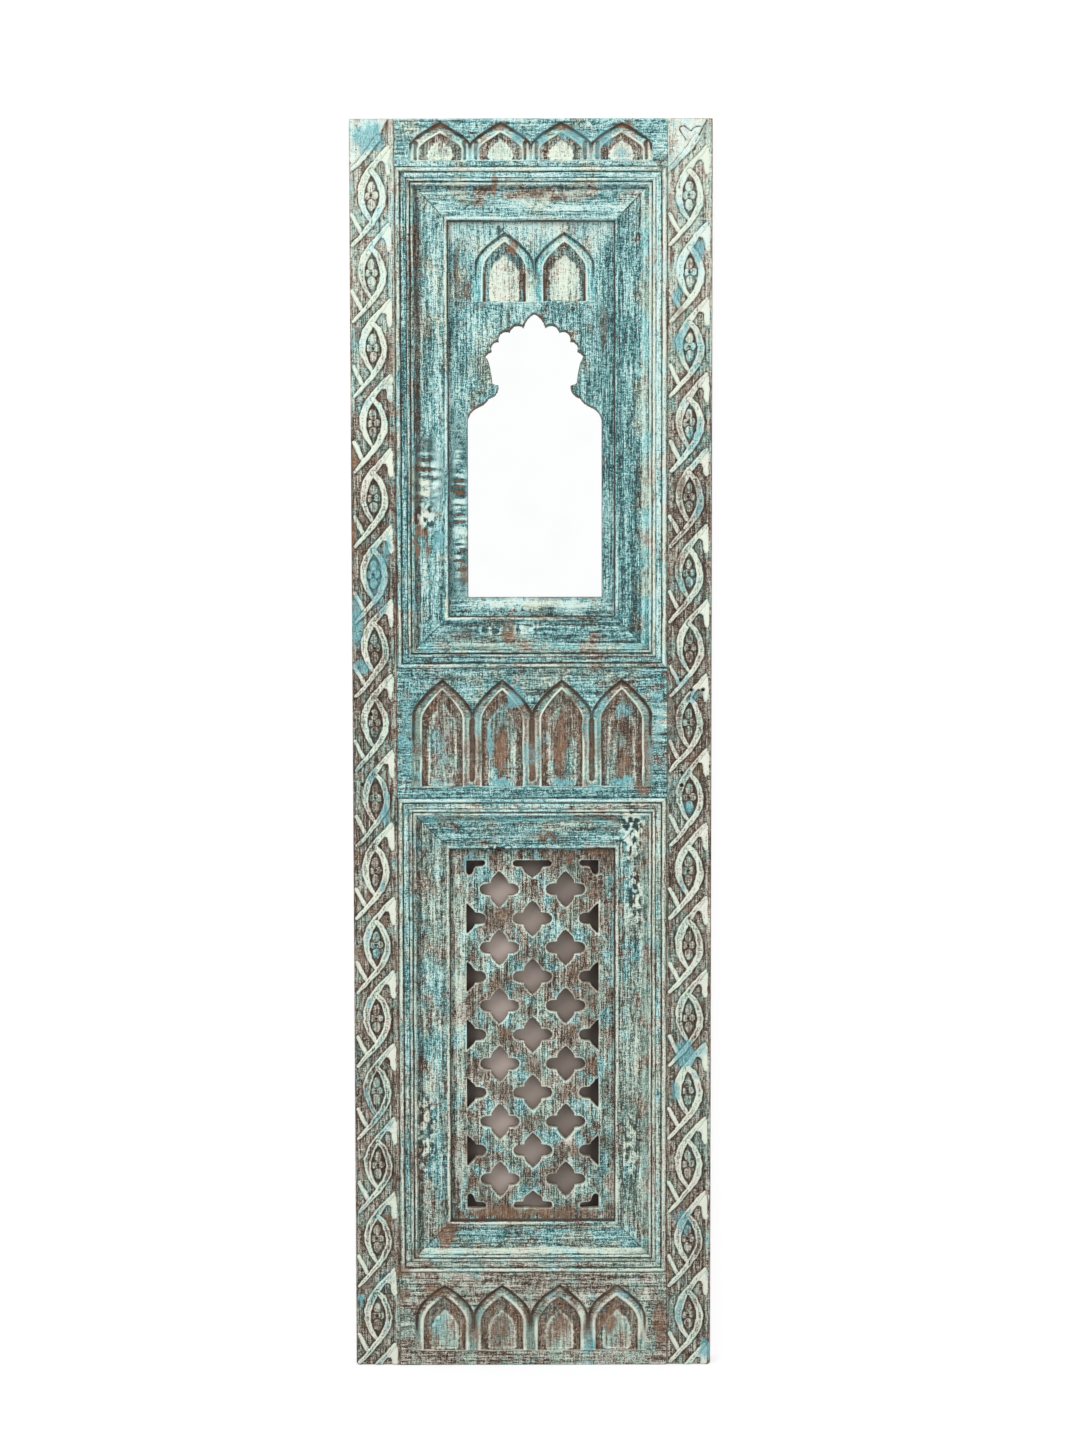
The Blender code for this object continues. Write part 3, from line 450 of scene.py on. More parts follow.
def niche_outline(middle, base, half, spring, apex, bow, lift=0.0, corner=0.1):
    """A niche with upright sides, rounded feet and a pointed, slightly bowed head."""
    foot = base + lift
    right = [(middle + half - 0.3 * corner, foot + 0.3 * corner), (middle + half, foot + corner)]
    for step in range(9):
        share = step / 8
        right.append((middle + half * (1 - share ** bow), base + spring + (apex - spring) * share))
    left = [(2 * middle - a, b) for a, b in right[-2::-1]]
    return [(middle - half + corner, foot), (middle + half - corner, foot)] + right + left


def arcade_relief(x, z, plan, face, seed):
    """Height of a sunk arcade beside its face, and the marks that its bands leave."""
    pitch, count, base, bow = plan["pitch"], plan["count"], plan["base"], plan["bow"]
    spring, apex = plan["spring"], plan["apex"]
    ridge_half, ridge_apex = plan["ridge"]
    field_half, field_apex = plan["field"]
    field_spring = spring - (apex - field_apex) * 0.6
    nested = (
        (plan["half"] + 0.9, spring, apex, bow),
        (ridge_half, spring - (apex - ridge_apex) * 0.45, ridge_apex, bow, 0.8),
        (field_half, field_spring, field_apex, 1.25 * bow, 1.6, 4.0),
    )
    x = x + 0.7 * unevenness(x, z, 17.0, 21.0, seed)
    z = z + 0.6 * unevenness(x, z, 19.0, 15.0, seed + 1)
    forms = [np.full(x.shape, -1e3) for _ in nested]
    notches = np.zeros(x.shape)
    for index in range(count):
        middle = pitch * (index - (count - 1) / 2)
        for number, form in enumerate(nested):
            inside = from_outline(x, z, niche_outline(middle, base, *form))
            forms[number] = np.maximum(forms[number], inside)
        turn = np.arctan2(x - middle, z - base - field_spring * 0.6)
        own = np.abs(x - middle) < pitch / 2
        notches = np.where(own, 0.7 * np.cos(turn * 17.0) * (np.abs(turn) < 1.9), notches)
    outside, ridge, field = forms
    above = z - base
    headward = swell(above, spring * 0.35, spring * 1.05)
    climb = np.clip(outside / (apex - ridge_apex), 0.0, 1.0)
    cut = swell(outside, -1.3, 1.3)
    relief = moved_to(face, cut, face - 0.45 - (4.6 - 4.2 * climb ** 0.7) * headward)
    rim_half, rim_height = plan["rim"]
    rim = hump(ridge, -rim_half, rim_half) * cut
    relief = relief + rim_height * rim
    band = swell(ridge, -0.2, 0.9)
    relief = moved_to(relief, band, face - 2.1 + 0.75 * unevenness(x, z, 2.2, 2.2, seed + 2))
    share = np.clip(above / field_apex, 0.0, 1.0)
    scoop = -2.0 - 1.4 * swell(share, 0.25, 1.0) + 0.9 * swell(0.12 - share, 0.0, 0.12)
    scoop = scoop + 0.25 * unevenness(x, z, 3.4, 60.0, seed + 3)
    field = field + notches + 0.7 * unevenness(x, z, 3.0, 3.0, seed + 4)
    inner = swell(field, -0.4, 0.9)
    relief = moved_to(relief, inner, face + scoop)
    offset, half, low, high = plan["flute"]
    flute, beside = np.zeros(x.shape), np.zeros(x.shape)
    for place in flute_places(pitch, count, offset) if half else ():
        trough = from_route(x, z, ((place, base + low, half), (place, base + high, half)))
        relief = relief - 1.9 * swell(trough, -0.6, 1.2)
        flute = np.maximum(flute, swell(trough, -0.4, 1.2))
        beside = np.maximum(beside, hump(trough, -2.2, 1.5))
    relief = relief - 0.7 * hump(above, -0.6, 0.9) * (np.abs(x) < pitch * count / 2)
    edging = hump(field, 2.4, 1.7) + hump(above, 1.2, 1.0) * cut
    upright = np.minimum(1.0, 2 * inner + 2 * band + cut * (1 - headward))
    return relief, {
        "head": cut * (1 - band),
        "rim": rim * (1 - band),
        # The groove along a head's outer cut: the finishes darken it as painted shadow of the face above
        "groove": hump(outside, 1.4, 2.4) * headward,
        "band": band * (1 - inner),
        "field": inner,
        "flute": flute,
        "foot": inner * swell(16.0 - above, 0.0, 8.0),
        "edging": np.maximum(edging, beside) * (1 - flute),
        "upright": np.where(above > 0, upright, 0.0),
    }


def flute_places(pitch, count, offset):
    """Where an arcade's troughs stand: one between two niches, or two when set off."""
    if not offset:
        return [pitch * (index - count / 2) for index in range(1, count)]
    both = [pitch * (index - count / 2) + side * offset for index in range(count + 1) for side in (-1, 1)]
    return [place for place in both if abs(place) <= pitch * count / 2]


# ------------------------------------------------------------------ marks of age

# Where the paint differs from the rest: middle across and up, half width, half height
# and strength, in millimetres on the panel
old_patches = {
    "sky": (
        (-234, 1801, 22, 20, 1.1), (-226, 1170, 17, 50, 0.75), (-211, 1216, 5, 18, 0.9),
        (-256, 1106, 10, 40, 0.8), (224, 466, 15, 20, 1.0), (212, 411, 5, 18, 0.9),
        (255, 22, 9, 16, 1.0), (224, 214, 14, 20, 0.6), (213, 1575, 7, 14, 1.0),
        (243, 1643, 10, 12, 0.9), (215, 1507, 9, 14, 1.0), (-216, 820, 7, 16, 0.9),
        (-249, 1040, 12, 12, 0.7), (228, 832, 8, 12, 0.7), (237, 995, 12, 10, 0.6),
        (-19, 1804, 11, 9, 0.9), (71, 1806, 14, 12, 0.9), (12, 1804, 9, 9, 0.7),
        (106, 1804, 12, 11, 0.9), (50, 1808, 9, 8, 0.9), (-136, 1221, 10, 17, 0.8),
        (-93, 749, 15, 13, 0.6), (-185, 940, 10, 70, 0.5), (184, 959, 9, 60, 0.5),
        (-25, 992, 13, 16, 0.95), (-62, 930, 4, 30, 1.0), (134, 975, 13, 12, 0.7),
        (-255, 101, 4, 10, 1.0), (-130, 915, 12, 30, 0.35), (-44, 870, 16, 5, 0.8),
        (44, 870, 16, 5, 0.7), (134, 870, 16, 6, 0.7), (24, 1646, 10, 14, 0.5),
        (132, 1780, 12, 10, 0.6), (-44, 1782, 12, 9, 0.3),
    ),
    "bare": (
        (-260, 1341, 5, 20, 0.9), (-260, 1223, 6, 25, 0.9), (-256, 1125, 6, 15, 0.9),
        (216, 1303, 8, 20, 1.0), (215, 1555, 9, 15, 0.7), (-132, 1820, 13, 6, 0.9),
        (-44, 1820, 13, 6, 0.9), (46, 1820, 13, 6, 0.8), (135, 1820, 14, 6, 0.9),
        (189, 63, 10, 36, 0.7), (112, 64, 10, 20, 0.9), (-148, 110, 14, 9, 0.9),
        (-189, 107, 9, 9, 0.8), (-193, 141, 12, 10, 0.9), (-127, 194, 17, 20, 0.9),
        (-173, 170, 8, 10, 0.9), (21, 1721, 62, 9, 0.75), (-79, 1709, 33, 6, 0.6),
        (-34, 1090, 12, 18, 0.8), (-107, 1088, 30, 11, 0.5), (105, 1533, 7, 38, 0.8),
        (-108, 1611, 5, 45, 0.7), (0, 224, 104, 9, 1.0), (101, 767, 24, 7, 0.8),
        (20, 788, 46, 7, 0.8), (-46, 790, 20, 6, 0.5), (-45, 911, 8, 36, 1.0),
        (41, 918, 11, 44, 0.9), (134, 892, 14, 20, 0.9), (0, 908, 4, 30, 1.0),
        (163, 856, 13, 8, 0.9), (-161, 1236, 10, 9, 1.0), (-168, 1212, 3, 22, 0.9),
        (-152, 1212, 3, 22, 0.9), (-100, 1173, 6, 20, 0.9), (-24, 1650, 9, 13, 1.0),
        (-75, 1565, 10, 8, 0.6), (-129, 930, 10, 22, 0.3), (-53, 1738, 3, 30, 0.9),
        (-48, 60, 11, 16, 0.6), (40, 60, 10, 16, 0.5), (-92, 1585, 4, 22, 0.7),
    ),
    "cream": (
        (-133, 1397, 5, 260, 0.5), (165, 66, 4, 38, 1.0), (165, 105, 10, 8, 0.8),
        (76, 88, 8, 24, 0.8), (5, 1130, 100, 7, 1.3), (152, 456, 6, 60, 0.6),
        (-157, 1180, 8, 26, 0.5), (-42, 1594, 15, 26, 0.3), (46, 1594, 15, 26, 0.4),
        (235, 1783, 26, 36, 0.35), (52, 340, 8, 14, 1.2), (118, 262, 10, 26, 0.9),
        (-108, 560, 9, 180, 0.75), (-108, 310, 9, 60, 0.6), (205, 1430, 30, 380, 0.12),
        (170, 1450, 16, 320, 0.3), (0, 1590, 9, 26, 0.5), (140, 1500, 10, 150, 0.2),
    ),
    "teal": (
        (0, 852, 176, 13, 1.4), (-112, 1290, 20, 150, 0.5), (115, 1380, 30, 330, 0.6),
        (-150, 1330, 18, 300, 0.2), (0, 1772, 170, 5, 0.5),
    ),
    "dark": (
        (0, 852, 176, 12, 0.3), (-47, 1673, 6, 5, 1.2), (-36, 1664, 9, 3, 1.0),
        (-149, 98, 1.8, 2.2, 1.2), (-44, 117, 1.8, 2.2, 1.2), (222, 1414, 2.2, 2.2, 1.2),
        (222, 1239, 2.2, 2.4, 1.2), (-236, 840, 2, 2, 1.2), (231, 996, 3, 5, 0.9),
        (-52, 1210, 3, 60, 0.4), (-128, 1452, 3, 70, 0.5), (-147, 1338, 4, 70, 0.6),
        (66, 1110, 60, 2.5, 0.5),
    ),
    "scraped": (
        (-152, 1312, 17, 46, 1.0), (-105, 1262, 11, 110, 1.0), (188, 960, 14, 40, 0.6),
    ),
    "peeled": (
        (-155, 1258, 14, 20, 1.0), (146, 800, 15, 44, 1.0), (150, 700, 13, 50, 0.6),
        (-53, 771, 24, 5, 1.0), (-158, 348, 14, 80, 0.55), (146, 320, 13, 60, 0.5),
        (34, 1722, 30, 12, 0.5), (-40, 1093, 60, 8, 0.6),
    ),
}
# Heights over which the stiles' paint gets fresher, is middling and is most worn
newer_above = (1300.0, 1780.0)
middling_heights = (600.0, 900.0, 1200.0, 1450.0)
worn_heights = (-2.0, -1.0, 500.0, 1000.0)
# What the painted finishes read from each place
paint_marks = ("hollow", "crest", "cream", "sky", "bare", "teal", "calm")


def patches(x, z, kind):
    """How strongly one kind of patch lies at each place, with ragged edges."""
    strength = np.zeros(x.shape)
    ragged_x = x + layered(x, z, (2.6, 7.0, 13.0, 31), (1.5, 2.6, 5.0, 32))
    ragged_z = z + layered(x, z, (4.0, 6.0, 11.0, 33), (2.0, 2.4, 6.0, 34))
    for middle_x, middle_z, wide, high, most in old_patches[kind]:
        reach = ((ragged_x - middle_x) / wide) ** 2 + ((ragged_z - middle_z) / high) ** 2
        strength = np.maximum(strength, most * np.exp(-reach ** 2))
    return strength


def all_marks(x, z, relief, cells, extra):
    """Every mark that the painted finishes read, as one number for each place."""
    marks = {kind: extra.get(kind, 0.0) + np.zeros(x.shape) for kind in paint_marks}
    for kind in ("cream", "sky", "bare", "teal"):
        marks[kind] += patches(x, z, kind)
    scraped, peeled = patches(x, z, "scraped"), patches(x, z, "peeled")
    lumps = layered(x, z, (1.0, 5.0, 7.0, 35), (0.7, 2.8, 4.0, 36))
    bands = layered(x, z, (1.0, 26.0, 3.4, 37), (0.7, 11.0, 5.5, 38))
    marks["cream"] += peeled * (2.4 * swell(lumps, -0.1, 0.2) - 0.7) + scraped * (0.3 + 2.0 * bands)
    marks["bare"] += scraped * 0.9 * swell(-bands, 0.3, 0.8)
    # Hollows are darkened, with dirt and with painted shade, and crests lose or catch paint
    close, broad, depth = softened(relief, cells[0]), softened(relief, cells[1]), cells[2]
    marks["crest"] = np.clip((relief - close) / (depth * 0.35), 0.0, 1.0)
    marks["hollow"] += np.clip((broad - relief) / depth, 0.0, 1.0)
    marks["hollow"] += 0.7 * peeled * swell(-lumps, 0.0, 0.35) + 1.2 * patches(x, z, "dark")
    marks["hollow"] = np.clip(marks["hollow"], 0.0, 1.0)
    marks["upright"] = extra.get("upright", 1.0) * (1.0 - np.minimum(1.0, 1.5 * scraped))
    return marks


# ------------------------------------------------------------------ meshes


def solid_behind(node, level, corner=None):
    """The part of a node's solid behind a level, closed, as points and faces."""
    mesh = bmesh.new()
    mesh.from_mesh(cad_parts[node].data)
    bmesh.ops.remove_doubles(mesh, verts=mesh.verts, dist=1e-6)
    everything = mesh.verts[:] + mesh.edges[:] + mesh.faces[:]
    cut = bmesh.ops.bisect_plane(
        mesh, geom=everything, dist=1e-7, plane_co=(0, level, 0), plane_no=(0, -1, 0), clear_outer=True)
    edges = [item for item in cut["geom_cut"] if isinstance(item, bmesh.types.BMEdge)]
    bmesh.ops.triangle_fill(mesh, edges=edges, use_beauty=False, use_dissolve=False, normal=(0, -1, 0))
    for side, x, z in corner or ():
        for turn in (18, 36, 54, 72):
            away = Vector((side * math.cos(math.radians(turn)), 0.0, -math.sin(math.radians(turn))))
            cut = bmesh.ops.bisect_plane(
                mesh, geom=mesh.verts[:] + mesh.edges[:] + mesh.faces[:], dist=1e-7,
                plane_co=Vector((x, 0.0, z)) + away * corner_radius * mm, plane_no=away, clear_outer=True)
            edges = [item for item in cut["geom_cut"] if isinstance(item, bmesh.types.BMEdge)]
            bmesh.ops.holes_fill(mesh, edges=edges)
    mesh.verts.index_update()
    points = [tuple(vert.co) for vert in mesh.verts]
    faces = [tuple(vert.index for vert in face.verts) for face in mesh.faces]
    mesh.free()
    return points, faces


def back_cap(points, starts, ends):
    """Flat triangles that close a back, with its openings left open."""
    flat = [Vector((x, z)) for x, _, z in points]
    edges = list(zip(starts.tolist(), ends.tolist()))
    made, _, triangles, came_from, _, _ = delaunay_2d_cdt(flat, edges, [], 0, 1e-9)
    number = [origins[0] if origins else -1 for origins in came_from]
    corners = np.array([[made[index] for index in triangle] for triangle in triangles])
    middle = corners.mean(axis=1)
    a, b = points[starts][:, (0, 2)], points[ends][:, (0, 2)]
    inside = np.zeros(len(middle), bool)
    for (ax, az), (bx, bz) in zip(a, b):
        crosses = (az > middle[:, 1]) != (bz > middle[:, 1])
        if crosses.any():
            inside ^= crosses & (middle[:, 0] < ax + (middle[:, 1] - az) * (bx - ax) / (bz - az))
    first, second = corners[:, 1] - corners[:, 0], corners[:, 2] - corners[:, 0]
    left_turn = first[:, 0] * second[:, 1] - first[:, 1] * second[:, 0] > 0
    cap = []
    for triangle, kept, turns in zip(triangles, inside, left_turn):
        if kept:
            face = [number[index] for index in triangle]
            cap.append(tuple(face[::-1] if turns else face))
    return cap


def relief_mesh(name, x, y, z, back_y, marks, kept=None, behind=None):
    """One closed body: a carved front over a flat back, open where kept says no."""
    index = np.arange(x.size).reshape(x.shape)
    corners = (index[:-1, :-1], index[:-1, 1:], index[1:, 1:], index[1:, :-1])
    quads = np.stack(corners, -1)
    quads = quads.reshape(-1, 4) if kept is None else quads[kept]
    starts = quads.ravel()
    ends = np.roll(quads, -1, axis=1).ravel()
    keys = np.minimum(starts, ends) * x.size + np.maximum(starts, ends)
    _, first, counts = np.unique(keys, return_index=True, return_counts=True)
    rim = first[counts == 1]
    used, place = np.unique(quads, return_inverse=True)
    quads = place.reshape(-1, 4)
    points = np.stack([x.ravel()[used], y.ravel()[used], z.ravel()[used]], 1)
    renumber = np.full(x.size, -1)
    renumber[used] = np.arange(len(used))
    rim_starts, rim_ends = renumber[starts[rim]], renumber[ends[rim]]
    rim_points = np.unique(np.concatenate([rim_starts, rim_ends]))
    back_number = np.full(len(used), -1)
    back_number[rim_points] = len(used) + np.arange(len(rim_points))
    back_points = points[rim_points].copy()
    back_points[:, 1] = back_y
    walls = np.stack([rim_ends, rim_starts, back_number[rim_starts], back_number[rim_ends]], 1)
    count = len(points) + len(back_points)
    back = back_cap(back_points, back_number[rim_starts] - len(points), back_number[rim_ends] - len(points))
    faces = [tuple(face) for face in np.concatenate([quads, walls]).tolist()]
    faces += [tuple(number + len(points) for number in face) for face in back]
    all_points = [tuple(point) for point in np.concatenate([points, back_points])]
    solid_points, solid_faces = behind or ([], [])
    all_points += solid_points
    faces += [tuple(number + count for number in face) for face in solid_faces]
    data = bpy.data.meshes.new(name)
    data.from_pydata(all_points, [], faces)
    for mark, values in marks.items():
        layer = data.attributes.new(mark, "FLOAT", "POINT")
        # The solid behind takes the lie of most of its front, and no other mark
        behind_value = np.quantile(values, 0.25) > 0.5 if mark == "upright" else 0.0
        flat = np.full(len(data.vertices), behind_value, np.float32)
        flat[: len(used)] = np.broadcast_to(values, x.shape).ravel()[used]
        flat[len(used): count] = flat[rim_points]
        layer.data.foreach_set("value", flat)
    return data


def show(name, data, finish, nodes, body="frame"):
    """Puts a finished mesh in the scene in place of its nodes."""
    data.materials.append(finish)
    data.shade_smooth()
    data.set_sharp_from_angle(angle=math.radians(52))
    thing = bpy.data.objects.new(name, data)
    bpy.context.scene.collection.objects.link(thing)
    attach(thing, body)
    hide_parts(*nodes)


def evenly(low, high, step):
    return np.linspace(low, high, int(math.ceil((high - low) / step)) + 1)


def box_mm(node):
    """Left, right, bottom and top of a node's box, in millimetres on the panel."""
    low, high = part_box(node)
    return low.x / mm, high.x / mm, (low.z - floor_z) / mm, (high.z - floor_z) / mm


def nail_pits(relief, x, z):
    """Sinks the wood round the nails, which were driven below the face."""
    for nail_x, nail_z in joint_nails:
        near = np.hypot(x - nail_x, z - nail_z) < nail_pit_radius
        relief = np.where(near, np.minimum(relief, nail_pit_level), relief)
    return relief


# ------------------------------------------------------------------ pieces


def carve_stile(node, side, finish):
    left, right, bottom, top = box_mm(node)
    x, z = np.meshgrid(evenly(left, right, fine_step), evenly(bottom, top, fine_step))
    relief, parts = vine_relief(x - left, z, side)
    relief = nail_pits(relief, x, z)
    edge = np.minimum(np.minimum(x - left, right - x), np.minimum(z - bottom, top - z))
    relief = relief - 1.3 * swell(1.4 + 0.5 * unevenness(x, z, 9.0, 14.0, 41) - edge, 0.0, 1.5)
    tone = layered(x, z, (1.0, 30.0, 55.0, 43 + side), (0.5, 9.0, 16.0, 44 + side))
    patchy = unevenness(x, z, 12.0, 20.0, 45 + side)
    raised, ground = parts["strand"], 1 - parts["strand"]
    newer = 0.62 * swell(z, *newer_above)
    middling = between(z, *middling_heights)
    worn_low = between(z, *worn_heights) * (0.7 if side < 0 else 0.35)
    extra = {
        "cream": raised * (1.15 + 0.35 * tone - 0.35 * middling - (0.4 + worn_low) * parts["spine"])
        + ground * (newer - 0.1) + 0.1 * parts["flower"] + (0.7 + 0.6 * tone) * parts["white"]
        - 0.16 * middling,
        # The trench round each flower is darkened: dirt and painted shade
        "hollow": 0.3 * parts["around"],
        "calm": 0.6 * parts["flower"] + 0.35 * raised,
        "sky": raised * swell(unevenness(x, z, 22.0, 34.0, 47 + side), 0.3, 0.8) * 0.5,
        "teal": newer * (0.3 + 0.4 * raised) - 0.2 * swell(-z, -1500.0, -1100.0),
        "bare": ground * (0.35 + 0.4 * swell(patchy, 0.5, 0.75)) - 0.2 * parts["flower"]
        + 0.3 * swell(-tone, 0.35, 0.9) * raised + 0.5 * swell(2.4 - edge, 0.0, 1.6),
    }
    marks = all_marks(x, z, relief, (1.1, 2.6, 1.5), extra)
    y = ground_y - relief * mm
    rise = np.clip(corner_radius - (z - bottom), 0.0, corner_radius)
    inset = corner_radius - np.sqrt(corner_radius ** 2 - rise ** 2)
    outer, inner = (left, right) if side < 0 else (right, left)
    x = x - side * inset * (x - inner) / (outer - inner)
    turn_x = (outer - side * corner_radius) * mm
    turn_z = (bottom + corner_radius) * mm + floor_z
    data = relief_mesh(node + "_carved", x * mm, y, z * mm + floor_z, carving_back_y, marks,
                       behind=solid_behind(node, carving_back_y, [(side, turn_x, turn_z)]))
    show(node + "_carved", data, finish, (node,))


def carve_rail(node, plan, seed, finish):
    front_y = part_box(node)[0].y
    _, _, bottom, top = box_mm(node)
    x, z = np.meshgrid(evenly(-opening_half, opening_half, rail_step), evenly(bottom, top, rail_step))
    face = layered(x, z, (0.14, 45.0, 1.8, seed), (0.16, 60.0, 6.0, seed + 1), (0.16, 30.0, 22.0, seed + 2))
    relief, bands = arcade_relief(x - plan["middle"], z, plan, face, seed)
    relief = nail_pits(relief, x, z)
    relief = relief - 0.9 * swell(1.2 - np.minimum(z - bottom, top - z), 0.0, 1.2)
    tone = unevenness(x, z, 26.0, 38.0, seed + 5)
    ringed = unevenness(x, z, 19.0, 27.0, seed + 6)
    plain = 1 - bands["head"] - bands["band"] - bands["field"]
    cream, bare = plan["worn"]
    extra = {
        "cream": cream + 0.15 * bands["head"] * (1 + tone) + bands["field"] * (plan["pale"] + 0.2 * tone)
        - 0.15 * bands["band"] + (0.7 + 1.2 * ringed) * bands["rim"] + 0.5 * bands["edging"],
        "calm": 0.8 * bands["head"] + plan["calm"] * bands["field"] + 0.3 * bands["flute"],
        "sky": bands["foot"] * plan["foot"] + bands["head"] * 0.45 * swell(tone, 0.1, 0.7),
        # The groove's bare wood here and its darkening below are painted shadow of the face above the cut
        "bare": bare + 0.5 * bands["flute"] + bands["band"] * 0.5
        + bands["field"] * 0.35 * swell(-tone, 0.0, 0.7) + 0.5 * bands["groove"],
        "teal": plan["teal"] * plain,
        "hollow": 0.75 * bands["groove"],
        "upright": bands["upright"],
    }
    marks = all_marks(x, z, relief, (1.2, 2.8, 1.5), extra)
    y = np.maximum(front_y, front_y - (relief - 0.5) * mm)
    data = relief_mesh(node + "_carved", x * mm, y, z * mm + floor_z, carving_back_y, marks,
                       behind=solid_behind(node, carving_back_y))
    show(node + "_carved", data, finish, (node,))


def shape_strip(node, seed, finish):
    """A mitred moulding: along runs from one mitre to the other, across in from its outer edge."""
    left, right, bottom, top = box_mm(node)
    end = node.rsplit("_", 1)[1]
    vertical = end in ("left", "right")
    length = (top - bottom) if vertical else (right - left)
    knots, heights = zip(*strip_outline)
    inward = [evenly(near, far, strip_step_in)[:-1] for near, far in zip(knots, knots[1:])]
    inward = np.concatenate([*inward, knots[-1:]])
    share, across = np.meshgrid(evenly(0.0, 1.0, strip_step / length), inward)
    along = across + share * (length - 2 * across)
    worn = across + layered(along, across, (0.35, 40.0, 30.0, seed), (0.15, 9.0, 30.0, seed + 1))
    height = np.interp(np.clip(worn, 0.0, strip_width), knots, heights)
    slope = between(across, *strip_slope)
    height = height + slope * 0.35 * unevenness(along, across, 34.0, 9.0, seed + 2)
    height = height + 0.12 * unevenness(along, across, 22.0, 2.0, seed + 3)
    chips = layered(along, across, (1.0, 4.0, 3.0, seed + 4), (1.0, 11.0, 5.0, seed + 5))
    height = height - 0.9 * swell(chips, 1.05, 1.5) * swell(-across, -30.0, -26.0)
    height = np.clip(height, strip_lowest, strip_highest)
    x = {"left": left + across, "right": right - across}.get(end, left + along)
    z = {"bottom": bottom + across, "top": top - across}.get(end, bottom + along)
    tone = unevenness(along, across, 60.0, 16.0, seed + 6)
    beads = humps(across, strip_beads) * (0.8 + 1.0 * unevenness(along, across, 70.0, 12.0, seed + 8))
    lines = humps(across, strip_lines) * (0.7 + 0.9 * unevenness(along, across, 45.0, 8.0, seed + 7))
    outer, cove, foot = (between(across, *zone) for zone in (strip_outer, strip_cove, strip_slope_foot))
    mitre = swell(1.6 - np.minimum(share, 1 - share) * (length - 2 * across), 0.0, 1.2) * slope
    cream, bare, teal, cove_painted_light, paler_beads, blue_bands = strip_tones[node]
    extra = {
        # Coves that face the lamps are painted paler and coves that face away darker and browner: painted
        # light and shade
        "cream": cream + beads + slope * 0.35 * tone + cove_painted_light * cove + paler_beads * outer + 0.3 * foot,
        "bare": bare + max(0.0, -cove_painted_light) * cove,
        "teal": teal + blue_bands * humps(across, strip_bands, 4) + 0.4 * foot,
        "hollow": lines + (0.25 if cove_painted_light < 0 else 0.0) * hump(across, 31.0, 4.5, 4) + 0.8 * mitre,
        "calm": 0.8 * cove * (cove_painted_light > 0) + 0.3 * beads,
        "upright": 1.0 if vertical else 0.0,
    }
    marks = all_marks(x, z, height, (1.6, 4.0, 1.3), extra)
    back_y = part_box(node)[1].y
    y = back_y - height * mm
    if end in ("left", "top"):
        x, y, z = x[::-1], y[::-1], z[::-1]
        marks = {kind: np.broadcast_to(values, x.shape)[::-1] for kind, values in marks.items()}
    data = relief_mesh(node + "_moulded", x * mm, y, z * mm + floor_z, back_y, marks)
    show(node + "_moulded", data, finish, (node,))


def arch_outline():
    """The arch, counterclockwise from the right end of its sill."""
    right = []
    here = (0.0, arch_height)
    for across, up, rise, steps in arch_corners:
        right += arc_points(here, (across, up), rise, steps)
        here = (across, up)
    outline = [(arch_half_width, 0.0)] + right[::-1] + [(0.0, arch_height)]
    outline += [(-a, b) for a, b in right] + [(-arch_half_width, 0.0)]
    return [(a + arch_middle, b + arch_sill) for a, b in outline]


def screen_holes():
    """Outlines of all the holes, the ones at the border cut off by it."""
    column_step = 2 * screen_half_width / screen_columns
    row_step = screen_height / screen_rows
    beside = side_quarter + [(a, -b) for a, b in side_quarter[-2::-1]]
    whole = hole_quarter + [(a, -b) for a, b in hole_quarter[-2::-1]]
    whole += [(-a, -b) for a, b in hole_quarter[1:]] + [(-a, b) for a, b in hole_quarter[-2:0:-1]]
    holes = []
    for row in range(screen_rows + 1):
        for column in range(row % 2, screen_columns + 1, 2):
            middle_x = column_step * column - screen_half_width
            middle_z = screen_foot + row_step * row
            side = 1 if column == 0 else -1
            up = 1 if row == 0 else -1
            if row in (0, screen_rows):
                shape = screen_corner
                if column not in (0, screen_columns):
                    shape = screen_border + [(-a, b) for a, b in screen_border[::-1] if a]
            else:
                shape = beside if column in (0, screen_columns) else whole
            holes.append([(middle_x + side * a, middle_z + up * b) for a, b in shape])
    return holes


def snap_to(x, z, outline, step):
    """Moves grid places near an outline onto it, and says which lie well inside."""
    inside = from_outline(x, z, outline)
    near = np.abs(inside) < step * 0.55
    best = np.full(x.shape, 1e3)
    new_x, new_z = x.copy(), z.copy()
    for start, end in sides_of(outline):
        share, _ = nearest(x, z, start, end)
        on_x, on_z = (start[axis] + share * (end[axis] - start[axis]) for axis in (0, 1))
        away = np.hypot(x - on_x, z - on_z)
        closer = near & (away < best)
        best = np.where(closer, away, best)
        new_x, new_z = np.where(closer, on_x, new_x), np.where(closer, on_z, new_z)
    return new_x, new_z, np.where(near, 0.0, inside)


